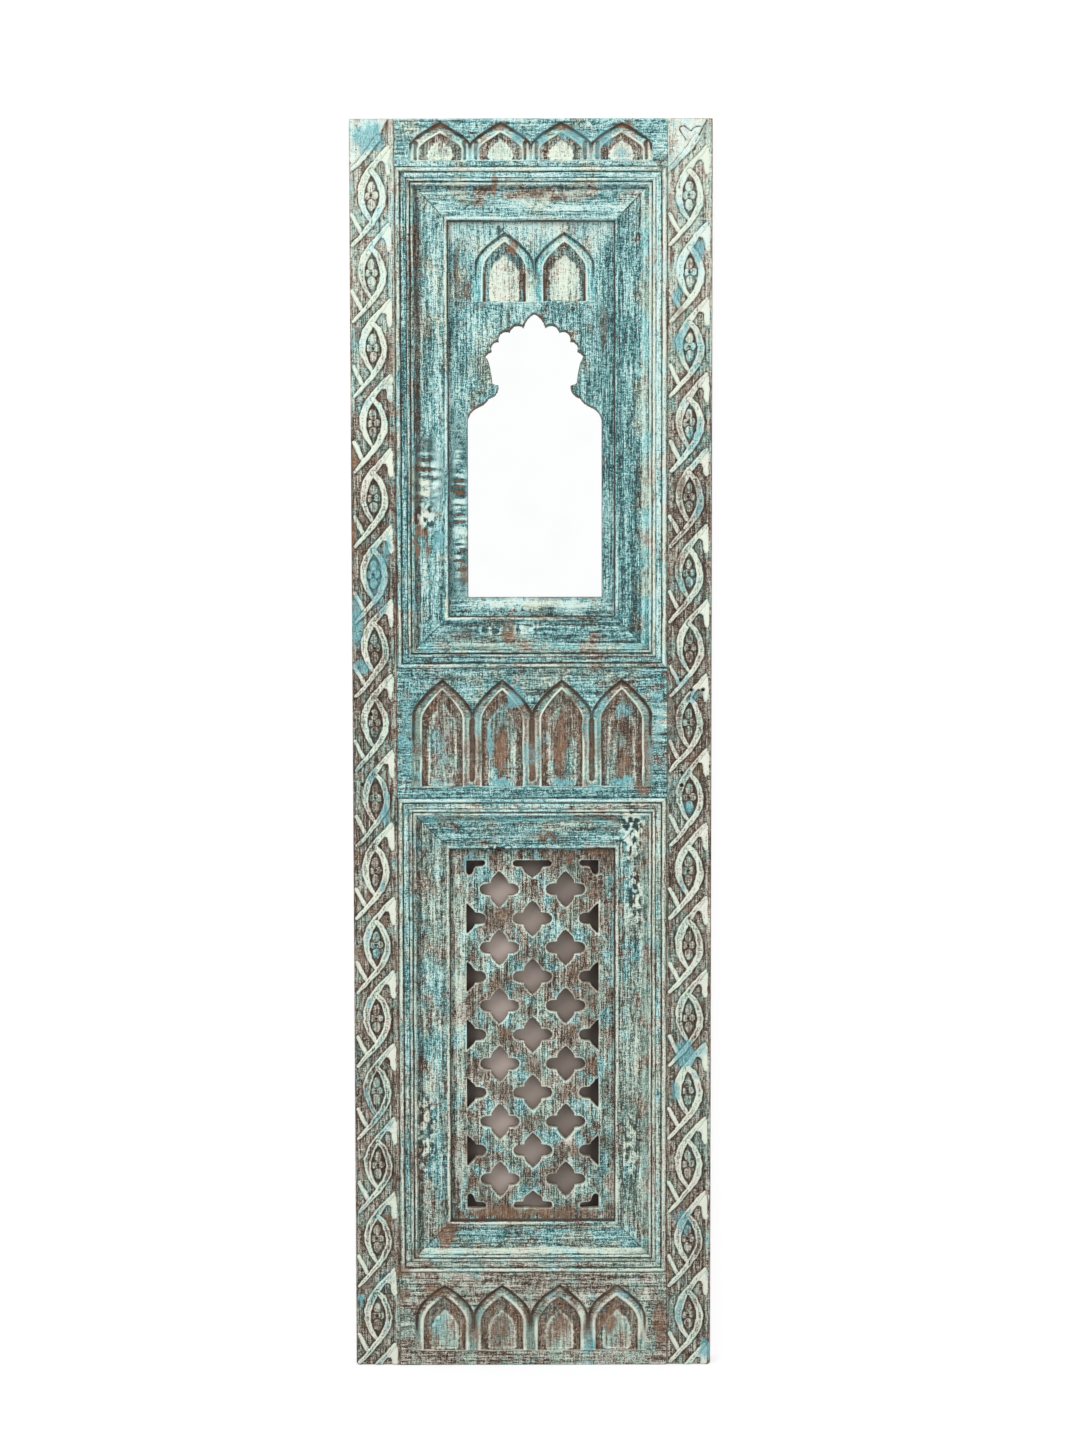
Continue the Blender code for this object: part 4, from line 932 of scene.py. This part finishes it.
def pierced_board(node, outlines, relief_of, finish):
    """A board with openings cut through it, fine where it shows between the mouldings."""
    left, right, bottom, top = box_mm(node)
    inner_right = opening_half - strip_width + 1.0
    inner_left = -inner_right
    inner_bottom, inner_top = bottom + board_cover, top - board_cover
    xs = np.concatenate([[left], evenly(inner_left, inner_right, board_step), [right]])
    zs = np.concatenate([[bottom], evenly(inner_bottom, inner_top, board_step), [top]])
    x, z = np.meshgrid(xs, zs)
    opening = np.full(x.shape, -1e3)
    for outline in outlines:
        flat = np.array(outline)
        low, high = flat.min(0) - 3.0, flat.max(0) + 3.0
        rows = np.where((zs > low[1]) & (zs < high[1]))[0]
        columns = np.where((xs > low[0]) & (xs < high[0]))[0]
        part = (slice(rows[0], rows[-1] + 1), slice(columns[0], columns[-1] + 1))
        x[part], z[part], inside = snap_to(x[part], z[part], outline, board_step)
        opening[part] = np.maximum(opening[part], inside)
    middle = (opening[:-1, :-1] + opening[:-1, 1:] + opening[1:, 1:] + opening[1:, :-1]) / 4
    kept = middle <= 0.0
    edge = -opening
    relief, extra = relief_of(x, z, edge)
    relief = relief - 0.8 * swell(1.6 - edge, 0.0, 1.6)
    shown = (x > inner_left) & (x < inner_right) & (z > inner_bottom) & (z < inner_top)
    relief = np.where(shown, relief, 0.0)
    marks = all_marks(x, z, relief, (1.2, 2.8, 1.5), extra)
    # Where the mouldings cover the board it is darkened in full, as painted shade
    marks["hollow"] = np.where(shown, marks["hollow"], 1.0)
    y = board_front_y - relief * mm
    data = relief_mesh(node + "_cut", x * mm, y, z * mm + floor_z, board_back_y, marks, kept)
    show(node + "_cut", data, finish, (node,))


def upper_board_relief(x, z, edge):
    face = layered(x, z, (0.12, 2.0, 50.0, 61), (0.15, 7.0, 70.0, 62), (0.12, 25.0, 30.0, 63))
    relief, bands = arcade_relief(x - arch_middle, z, board_arcade, face, 65)
    tone = unevenness(x, z, 30.0, 40.0, 66)
    extra = {
        # Paler towards the top under the moulding: pale paint, and painted light that offsets the moulding's
        # shade there
        "cream": 0.1 + 0.8 * bands["field"] + 0.25 * bands["head"] - 0.2 * bands["band"] + 0.4 * tone
        + 0.6 * bands["rim"] + 0.3 * bands["edging"] + 0.9 * swell(z, 1620.0, 1690.0),
        "calm": 0.7 * bands["head"] + 0.3 * bands["field"],
        "bare": 0.5 * bands["band"] + 0.7 * bands["flute"] + 0.55 * swell(1.8 - edge, 0.0, 1.2)
        + 0.2 * swell(-tone, 0.2, 0.8),
        "teal": 0.5 - 0.5 * bands["field"],
        # Darkening the groove is painted shadow of the face above the cut
        "hollow": 0.6 * bands["groove"],
        "upright": swell(z, arch_sill - 4.0, arch_sill + 2.0),
    }
    return relief, extra


def screen_relief(x, z, edge):
    face = layered(x, z, (0.14, 1.9, 30.0, 71), (0.14, 6.0, 50.0, 72), (0.15, 18.0, 18.0, 73))
    tone = unevenness(x, z, 30.0, 30.0, 74)
    rim = swell(2.2 - edge, 0.0, 1.2)
    dabs = layered(x, z, (1.0, 11.0, 16.0, 76), (0.6, 6.0, 9.0, 77))
    columns = (x + screen_half_width) * screen_columns / (2 * screen_half_width)
    rows = (z - screen_foot) * screen_rows / screen_height
    crossing = swell(-np.cos(math.pi * columns) * np.cos(math.pi * rows), 0.1, 0.9)
    crossing = crossing * swell(screen_half_width - np.abs(x), -2.0, 6.0) * (0.6 + 0.5 * tone)
    extra = {
        # The holes' rims and walls take cream: worn paint on the edges, and painted light on the walls
        "cream": 0.12 + 0.2 * tone + 0.12 * dabs - 0.2 * crossing + 1.3 * rim,
        "bare": 0.2 + 0.3 * unevenness(x, z, 40.0, 40.0, 75) - 0.2 * dabs + 0.45 * crossing + 0.3 * rim,
        "teal": 0.15 + 0.4 * dabs - 0.6 * crossing,
    }
    return face, extra


# ------------------------------------------------------------------ finishes

# From the darkest to the palest: wood with its paint rubbed off, greener and bluer paint
wood_shades = (
    (0.0, colour(58, 47, 40)), (0.25, colour(98, 81, 69)), (0.5, colour(132, 113, 98)),
    (0.75, colour(179, 171, 155)), (1.0, colour(234, 237, 223)),
)
green_shades = (
    (0.0, colour(52, 56, 50)), (0.25, colour(90, 108, 100)), (0.5, colour(122, 150, 140)),
    (0.75, colour(176, 204, 190)), (1.0, colour(232, 240, 222)),
)
blue_shades = (
    (0.0, colour(46, 56, 55)), (0.25, colour(68, 114, 117)), (0.5, colour(83, 165, 170)),
    (0.75, colour(138, 216, 217)), (1.0, colour(225, 243, 235)),
)


def fit(tree, made, inputs):
    """Fills a node's inputs, each with a value or another node's output."""
    for name, value in inputs.items():
        if isinstance(value, bpy.types.NodeSocket):
            tree.links.new(value, made.inputs[name])
        else:
            made.inputs[name].default_value = value


def node(tree, kind, inputs=None, **settings):
    """Adds one node with its settings and inputs."""
    made = tree.nodes.new(kind)
    for name, value in settings.items():
        setattr(made, name, value)
    fit(tree, made, inputs or {})
    return made


def sums(tree, operation, *values):
    return node(tree, "ShaderNodeMath", dict(enumerate(values)), operation=operation).outputs[0]


def vectors(tree, operation, first, second):
    """Two vectors put together, part by part."""
    return node(tree, "ShaderNodeVectorMath", {0: first, 1: second}, operation=operation).outputs[0]


def added(tree, first, *weighted):
    """A value and others added to it, each times its weight."""
    for value, weight in weighted:
        first = sums(tree, "MULTIPLY_ADD", value, weight, first)
    return first


def step_up(tree, value, low, high):
    """0 below low, 1 above high, and smooth between."""
    inputs = {"Value": value, "From Min": low, "From Max": high}
    return node(tree, "ShaderNodeMapRange", inputs, interpolation_type="SMOOTHSTEP").outputs["Result"]


def spread(tree, value, low, high):
    """Low where the value is 0 and high where it is 1."""
    return node(tree, "ShaderNodeMapRange", {"Value": value, "To Min": low, "To Max": high}).outputs["Result"]


def mixed(tree, kind, share, first, second):
    """Two colours or vectors, mixed by a share."""
    made = node(tree, "ShaderNodeMix", data_type={"Color": "RGBA", "Vector": "VECTOR"}[kind])
    places = {item.identifier: number for number, item in enumerate(made.inputs)}
    names = ("Factor_Float", f"A_{kind}", f"B_{kind}")
    fit(tree, made, {places[name]: value for name, value in zip(names, (share, first, second))})
    return next(item for item in made.outputs if item.identifier == f"Result_{kind}")


def blended(tree, share, first, second):
    return mixed(tree, "Color", share, first, second)


def noise(tree, vector, scale, detail=3.0, roughness=0.55):
    inputs = {"Vector": vector, "Scale": scale, "Detail": detail, "Roughness": roughness}
    return node(tree, "ShaderNodeTexNoise", inputs).outputs["Fac"]


def ramp(tree, value, stops):
    """Shades that follow one another as the value goes from 0 to 1."""
    made = node(tree, "ShaderNodeValToRGB", {"Fac": value})
    shades = made.color_ramp.elements
    for number in (0, -1):
        shades[number].position, shades[number].color = stops[number]
    for place, shade in stops[1:-1]:
        shades.new(place).color = shade
    return made.outputs["Color"]


def new_group(name, inputs, outputs):
    """An empty shader group with named inputs and outputs."""
    tree = bpy.data.node_groups.new(name, "ShaderNodeTree")
    for label, kind, value in inputs:
        socket = tree.interface.new_socket(label, in_out="INPUT", socket_type=kind)
        if value is not None:
            socket.default_value = value
    for label, kind in outputs:
        tree.interface.new_socket(label, in_out="OUTPUT", socket_type=kind)
    return tree, tree.nodes.new("NodeGroupInput"), tree.nodes.new("NodeGroupOutput")


FLOAT, COLOUR, VECTOR = "NodeSocketFloat", "NodeSocketColor", "NodeSocketVector"


def old_wood_group():
    """Bare old wood: grey-brown with reddish-brown streaks along the grain."""
    tree, given, out = new_group(
        "old_wood",
        (("Grain", VECTOR, None), ("Place", VECTOR, None), ("Warmth", FLOAT, 0.0)),
        (("Color", COLOUR), ("Height", FLOAT)),
    )
    grain, place = given.outputs["Grain"], given.outputs["Place"]
    streak = noise(tree, grain, 560.0, 5.0, 0.65)
    broad = noise(tree, grain, 90.0, 3.0)
    cloud = noise(tree, place, 24.0, 3.0)
    tone = blended(tree, step_up(tree, streak, 0.4, 0.6), colour(76, 65, 56), colour(150, 134, 116))
    heat = added(tree, sums(tree, "ADD", broad, cloud), (given.outputs["Warmth"], 0.32))
    warm = step_up(tree, added(tree, heat, (streak, 0.5)), 1.42, 1.56)
    tone = blended(tree, sums(tree, "MULTIPLY", warm, 0.55), tone, colour(168, 120, 84))
    fit(tree, out, {"Color": tone, "Height": streak})
    return tree


def old_paint_group(wood):
    """Turquoise paint rubbed back to wood, with sky blue and cream over it."""
    tree, given, out = new_group(
        "old_paint",
        tuple((vector, VECTOR, None) for vector in ("Grain", "Long", "Across", "Place"))
        + tuple((value, FLOAT, 0.0) for value in ("Cover", *map(str.title, paint_marks))),
        (("Color", COLOUR), ("Roughness", FLOAT), ("Height", FLOAT)),
    )
    grain, place = given.outputs["Grain"], given.outputs["Place"]
    hollow, crest, cream, sky, bare, teal, calm = (given.outputs[mark.title()] for mark in paint_marks)
    under = node(tree, "ShaderNodeGroup", {"Grain": grain, "Place": place, "Warmth": bare}, node_tree=wood)
    streak = noise(tree, grain, 900.0, 3.0, 0.7)
    long = noise(tree, given.outputs["Long"], 460.0, 3.0, 0.65)
    speck = noise(tree, place, 1000.0, 2.0, 0.6)
    weft = noise(tree, given.outputs["Across"], 620.0, 2.0, 0.6)
    blotch = noise(tree, place, 130.0, 4.0, 0.6)
    cloud = noise(tree, place, 30.0, 3.0)
    drift = noise(tree, vectors(tree, "ADD", place, (7.3, 2.9, 4.7)), 24.0, 3.0)
    brushed = noise(tree, vectors(tree, "ADD", grain, (3.1, 7.7, 5.3)), 190.0, 4.0, 0.6)

    # How light each place is, from bared dark grain to rubbed cream
    detail = added(tree, sums(tree, "MULTIPLY", streak, 0.9), (long, 0.7), (speck, 0.9), (weft, 0.5),
                   (blotch, 0.25), (brushed, 0.3))
    quiet = sums(tree, "MULTIPLY", sums(tree, "MULTIPLY", calm, 0.65), sums(tree, "SUBTRACT", 1.775, detail))
    light = added(tree, detail, (quiet, 1.0), (cream, 0.16), (crest, 0.06), (bare, -0.05), (hollow, -0.12),
                  (given.outputs["Cover"], 1.0))
    share = step_up(tree, light, 1.58, 1.92)
    # Where paint is left, in broad brushed areas, and where it is bluer
    left = added(tree, sums(tree, "MULTIPLY", cloud, 1.4), (brushed, 0.5), (blotch, 0.5), (long, 0.15),
                 (teal, 0.3), (bare, -0.3))
    painted = step_up(tree, left, 1.04, 1.34)
    bluer = step_up(tree, added(tree, drift, (brushed, 0.3), (teal, 0.35), (cream, -0.05)), 0.64, 0.86)
    paint = blended(tree, bluer, ramp(tree, share, green_shades), ramp(tree, share, blue_shades))
    tone = blended(tree, painted, ramp(tree, share, wood_shades), paint)
    # Over it, wood scraped bare, sky blue, and dirt with painted shade in the hollows
    stripped = step_up(tree, added(tree, bare, (speck, 1.5), (blotch, 1.5), (streak, 1.5)), 2.5, 3.35)
    tone = blended(tree, sums(tree, "MULTIPLY", stripped, 0.64), tone, under.outputs["Color"])
    bright = step_up(tree, sums(tree, "ADD", streak, speck), 0.9, 1.12)
    blue = blended(tree, bright, colour(84, 152, 160), colour(150, 214, 220))
    blue_cover = step_up(tree, added(tree, sky, (blotch, 1.5), (streak, 1.0), (speck, 1.0)), 1.9, 2.5)
    tone = blended(tree, sums(tree, "MULTIPLY", blue_cover, 0.78), tone, blue)
    dirt_and_shade_share = step_up(tree, added(tree, hollow, (streak, 0.8), (speck, 0.8)), 1.15, 1.85)
    tone = blended(tree, sums(tree, "MULTIPLY", dirt_and_shade_share, 0.7), tone, colour(58, 49, 42))
    fit(tree, out, {"Color": tone, "Roughness": spread(tree, painted, 0.84, 0.66),
                    "Height": sums(tree, "ADD", share, streak)})
    return tree


def soft_wear_group():
    """Soft clouds of wear in a finish's colour and roughness."""
    tree, given, out = new_group(
        "soft_wear",
        (("Place", VECTOR, None), ("Scale", FLOAT, 400.0), ("Tone", COLOUR, None), ("Worn", COLOUR, None),
         ("Roughness", FLOAT, 0.6)),
        (("Color", COLOUR), ("Roughness", FLOAT)),
    )
    cloud = noise(tree, given.outputs["Place"], given.outputs["Scale"], 4.0)
    worn = step_up(tree, cloud, 0.35, 0.7)
    smoothest = sums(tree, "SUBTRACT", given.outputs["Roughness"], 0.1)
    fit(tree, out, {"Color": blended(tree, worn, given.outputs["Tone"], given.outputs["Worn"]),
                    "Roughness": added(tree, smoothest, (cloud, 0.25))})
    return tree


def new_material(name):
    """A material, its nodes, its shader and the place on the object."""
    finish = bpy.data.materials.new(name)
    finish.use_nodes = True
    tree = finish.node_tree
    place = node(tree, "ShaderNodeTexCoord").outputs["Object"]
    return finish, tree, tree.nodes["Principled BSDF"], place


def bumped(tree, strength, distance, height):
    inputs = {"Strength": strength, "Distance": distance, "Height": height}
    return node(tree, "ShaderNodeBump", inputs).outputs["Normal"]


def brushed_vector(tree, place, upright, stretch):
    """The place stretched along x, or along z where the brushing runs upright."""
    level = vectors(tree, "MULTIPLY", place, (stretch, 1.0, 1.0))
    steep = vectors(tree, "MULTIPLY", place, (1.0, 1.0, stretch))
    return mixed(tree, "Vector", upright, level, steep)


def painted_finish(name, paint, wood, cover, front_y):
    """Old paint on the carved front, bare wood on the sides and back."""
    finish, tree, shader, place = new_material(name)
    upright, *read = (node(tree, "ShaderNodeAttribute", attribute_name=mark).outputs["Fac"]
                      for mark in ("upright", *paint_marks))
    grain = brushed_vector(tree, place, upright, 0.14)
    long = brushed_vector(tree, place, upright, 0.03)
    across = brushed_vector(tree, place, sums(tree, "SUBTRACT", 1.0, upright), 0.2)
    inputs = {"Grain": grain, "Long": long, "Across": across, "Place": place, "Cover": cover}
    inputs.update(zip(map(str.title, paint_marks), read))
    old = node(tree, "ShaderNodeGroup", inputs, node_tree=paint)
    bare = node(tree, "ShaderNodeGroup", {"Grain": long, "Place": place}, node_tree=wood)
    depth = node(tree, "ShaderNodeSeparateXYZ", {0: place}).outputs["Y"]
    ragged = added(tree, depth, (noise(tree, grain, 140.0), 0.01))
    unpainted = step_up(tree, ragged, front_y + 0.008, front_y + 0.014)
    fit(tree, shader, {
        "Base Color": blended(tree, unpainted, old.outputs["Color"], bare.outputs["Color"]),
        "Roughness": old.outputs["Roughness"], "Specular IOR Level": 0.3,
        "Normal": bumped(tree, 0.5, 0.0006, old.outputs["Height"])})
    return finish


def wood_finish(name, wood, warmth, roughness):
    finish, tree, shader, place = new_material(name)
    grain = vectors(tree, "MULTIPLY", place, (1.0, 1.0, 0.1))
    group = node(tree, "ShaderNodeGroup", {"Grain": grain, "Place": place, "Warmth": warmth}, node_tree=wood)
    fit(tree, shader, {"Base Color": group.outputs["Color"], "Roughness": roughness,
                       "Normal": bumped(tree, 0.4, 0.0004, group.outputs["Height"])})
    return finish


def sheet_finish(name):
    """The thin back sheets: brown behind, and paler where the screen shows one's front."""
    finish, tree, shader, place = new_material(name)
    parts = node(tree, "ShaderNodeSeparateXYZ", {0: place}).outputs
    cloud = noise(tree, place, 9.0, 2.0)
    fibre = noise(tree, vectors(tree, "MULTIPLY", place, (1.0, 1.0, 0.1)), 300.0, 3.0)
    # Painted shade: the sheet is darker towards the screen's left, right and upper edges, where
    # the screen shades it, and more so towards its right
    beside = step_up(tree, sums(tree, "ABSOLUTE", parts["X"]), 0.06, 0.09)
    high = step_up(tree, parts["Z"], floor_z + 0.7, floor_z + 0.76)
    rightward = sums(tree, "MULTIPLY", step_up(tree, parts["X"], -0.045, 0.045), 0.5)
    painted_shade = sums(tree, "MAXIMUM", sums(tree, "MAXIMUM", beside, high), rightward)
    tone = blended(tree, step_up(tree, cloud, 0.3, 0.7), colour(190, 174, 164), colour(206, 190, 182))
    tone = blended(tree, sums(tree, "MULTIPLY", fibre, 0.06), tone, colour(90, 76, 66))
    tone = blended(tree, sums(tree, "MULTIPLY", painted_shade, 0.88), tone, colour(62, 51, 45))
    mottled = step_up(tree, sums(tree, "ADD", cloud, fibre), 0.8, 1.2)
    back = blended(tree, mottled, colour(104, 84, 66), colour(134, 110, 88))
    behind = step_up(tree, parts["Y"], sheet_back_y - 0.003, sheet_back_y - 0.001)
    fit(tree, shader, {"Base Color": blended(tree, behind, tone, back), "Roughness": 0.7})
    return finish


def handled_finish(name, wear, tone, worn, roughness, metallic, scale):
    """Metal, felt or rubber, clouded by handling."""
    finish, tree, shader, place = new_material(name)
    inputs = {"Place": place, "Scale": scale, "Tone": tone, "Worn": worn, "Roughness": roughness}
    clouds = node(tree, "ShaderNodeGroup", inputs, node_tree=wear).outputs
    fit(tree, shader, {"Base Color": clouds["Color"], "Roughness": clouds["Roughness"], "Metallic": metallic})
    return finish


def mirror_finish(name):
    finish, tree, shader, place = new_material(name)
    haze = step_up(tree, noise(tree, place, 14.0, 3.0), 0.3, 0.9)
    tone = blended(tree, haze, (0.985, 0.99, 0.99, 1.0), (0.96, 0.97, 0.97, 1.0))
    fit(tree, shader, {"Base Color": tone, "Metallic": 1.0, "Roughness": 0.02})
    return finish


# ------------------------------------------------------------------ the object

opening_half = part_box("upper_moulding_bottom")[1].x / mm + 0.6
joint_nails = []
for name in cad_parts:
    if name.startswith("joint_nail"):
        left, right, bottom, top = box_mm(name)
        joint_nails.append(((left + right) / 2, (bottom + top) / 2))

wood_group = old_wood_group()
paint_group = old_paint_group(wood_group)
upright_paint, level_paint, upright_moulding, level_moulding, board_paint = (
    painted_finish(name, paint_group, wood_group, cover, front_y) for name, cover, front_y in (
        ("painted_wood_upright", 0.0, face_y),
        ("painted_wood_level", -0.03, face_y),
        ("painted_moulding_upright", -0.01, moulding_front_y),
        ("painted_moulding_level", -0.01, moulding_front_y),
        ("painted_board", -0.05, board_front_y + 0.005),
    ))

carve_stile("left_stile", -1, upright_paint)
carve_stile("right_stile", 1, upright_paint)
carve_rail("top_rail", top_arcade, 81, level_paint)
carve_rail("middle_rail", middle_arcade, 101, level_paint)
carve_rail("bottom_rail", bottom_arcade, 121, level_paint)
for number, which in enumerate(("upper", "lower")):
    for place, end in enumerate(("left", "right", "bottom", "top")):
        strip_finish = upright_moulding if end in ("left", "right") else level_moulding
        shape_strip(f"{which}_moulding_{end}", 200 + 40 * number + 10 * place, strip_finish)
pierced_board("upper_panel", [arch_outline()], upper_board_relief, board_paint)
pierced_board("jali_panel", screen_holes(), screen_relief, board_paint)

wear_group = soft_wear_group()
zinc, padding, iron, rubber = (
    handled_finish(name, wear_group, *look) for name, *look in (
        ("zinc", colour(196, 196, 192), colour(160, 162, 160), 0.35, 1.0, 500.0),
        ("padding", colour(96, 94, 88), colour(120, 116, 108), 0.85, 0.0, 300.0),
        ("iron", colour(38, 34, 32), colour(62, 50, 42), 0.6, 0.7, 900.0),
        ("rubber", colour(38, 38, 38), colour(54, 53, 52), 0.75, 0.0, 400.0),
    ))
plywood = sheet_finish("plywood")
# The pieces that keep the form of their solids, by how their names start
kept_finishes = {
    "mirror_glass": mirror_finish("mirror"),
    "mirror_padding": padding,
    "glass_stop": wood_finish("raw_wood", wood_group, 0.1, 0.8),
    "mirror_back_board": plywood,
    "jali_back_board": plywood,
    "joint_nail": iron,
    "hanger": zinc,
    "wall_bumper": rubber,
}
for name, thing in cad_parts.items():
    for start, finish in kept_finishes.items():
        if name.startswith(start):
            thing.data.materials.clear()
            thing.data.materials.append(zinc if "screw" in name else finish)


# ------------------------------------------------------------------ floor, light, camera


def stage_finish(name, shade, glow, front_only):
    """White card that keeps soft shadows; seen only from its front if asked."""
    finish, tree, shader, _ = new_material(name)
    fit(tree, shader, {"Base Color": (shade, shade, shade * 1.03, 1.0), "Roughness": 1.0,
                       "Specular IOR Level": 0.0})
    path = node(tree, "ShaderNodeLightPath").outputs
    shine = node(tree, "ShaderNodeEmission", {"Color": (1.0, 1.0, 1.0, 1.0), "Strength": glow})
    none = node(tree, "ShaderNodeEmission", {"Color": (0.0, 0.0, 0.0, 1.0), "Strength": 0.0})
    seen = sums(tree, "MAXIMUM", path["Is Camera Ray"], path["Is Glossy Ray"])
    lift = node(tree, "ShaderNodeMixShader", {0: seen, 1: none.outputs[0], 2: shine.outputs[0]})
    last = node(tree, "ShaderNodeAddShader", {0: shader.outputs[0], 1: lift.outputs[0]}).outputs[0]
    if front_only:
        clear = node(tree, "ShaderNodeBsdfTransparent").outputs[0]
        facing = sums(tree, "SUBTRACT", 1.0, node(tree, "ShaderNodeNewGeometry").outputs["Backfacing"])
        front = sums(tree, "MULTIPLY", path["Is Camera Ray"], facing)
        last = node(tree, "ShaderNodeMixShader", {0: front, 1: clear, 2: last}).outputs[0]
    tree.links.new(last, tree.nodes["Material Output"].inputs["Surface"])
    return finish


def stage_sheet(name, corners, finish):
    data = bpy.data.meshes.new(name)
    data.from_pydata(corners, [], [tuple(range(len(corners)))])
    data.materials.append(finish)
    thing = bpy.data.objects.new(name, data)
    bpy.context.scene.collection.objects.link(thing)


ground_z = floor_z - floor_gap
stage_sheet("floor", [(x, y, ground_z) for x, y in (
    (-card_half_width, -card_depth), (card_half_width, -card_depth),
    (card_half_width, card_depth), (-card_half_width, card_depth))],
    stage_finish("floor_card", *floor_look, False))
stage_sheet("wall", [(x, wall_y, z) for x, z in (
    (-card_half_width, ground_z), (card_half_width, ground_z),
    (card_half_width, card_height), (-card_half_width, card_height))],
    stage_finish("wall_card", *wall_look, True))


def turned_to(place, aim):
    """How something at a place turns to face its aim."""
    return (Vector(aim) - Vector(place)).to_track_quat("-Z", "Y")


for name, (place, aim, size, power) in lamps.items():
    light = bpy.data.lights.new(name, "AREA")
    light.shape = "RECTANGLE"
    light.size = light.size_y = size
    light.energy = power
    lamp = bpy.data.objects.new(name, light)
    lamp.location = place
    lamp.rotation_euler = turned_to(place, aim).to_euler()
    bpy.context.scene.collection.objects.link(lamp)

world = bpy.data.worlds.new("studio")
bpy.context.scene.world = world
world.use_nodes = True
tree = world.node_tree
path = node(tree, "ShaderNodeLightPath").outputs
through = sums(tree, "MAXIMUM", path["Is Glossy Ray"], path["Is Transmission Ray"])
seen = sums(tree, "MAXIMUM", path["Is Camera Ray"], through)
strength = spread(tree, seen, world_light, 1.0)
fit(tree, tree.nodes["Background"], {"Color": (1.0, 1.0, 1.0, 1.0), "Strength": strength})

camera_data = bpy.data.cameras.new("camera")
camera = bpy.data.objects.new("camera", camera_data)
bpy.context.scene.collection.objects.link(camera)
camera_data.sensor_fit = "VERTICAL"
camera_data.sensor_height = camera_data.sensor_width = 36.0
camera_data.lens = camera_data.sensor_height * camera_distance / seen_height
camera_data.shift_x, camera_data.shift_y = picture_shift
angle = math.radians(camera_height_angle)
aim = Vector((0.0, aim_y, (cad_size[0].z + cad_size[1].z) / 2 + aim_lift))
camera.location = aim + camera_distance * Vector((0.0, -math.cos(angle), math.sin(angle)))
tilt = Quaternion((0.0, 0.0, 1.0), math.radians(camera_roll))
camera.rotation_euler = (turned_to(camera.location, aim) @ tilt).to_euler()
bpy.context.scene.camera = camera

bpy.context.scene.view_settings.view_transform = "Standard"
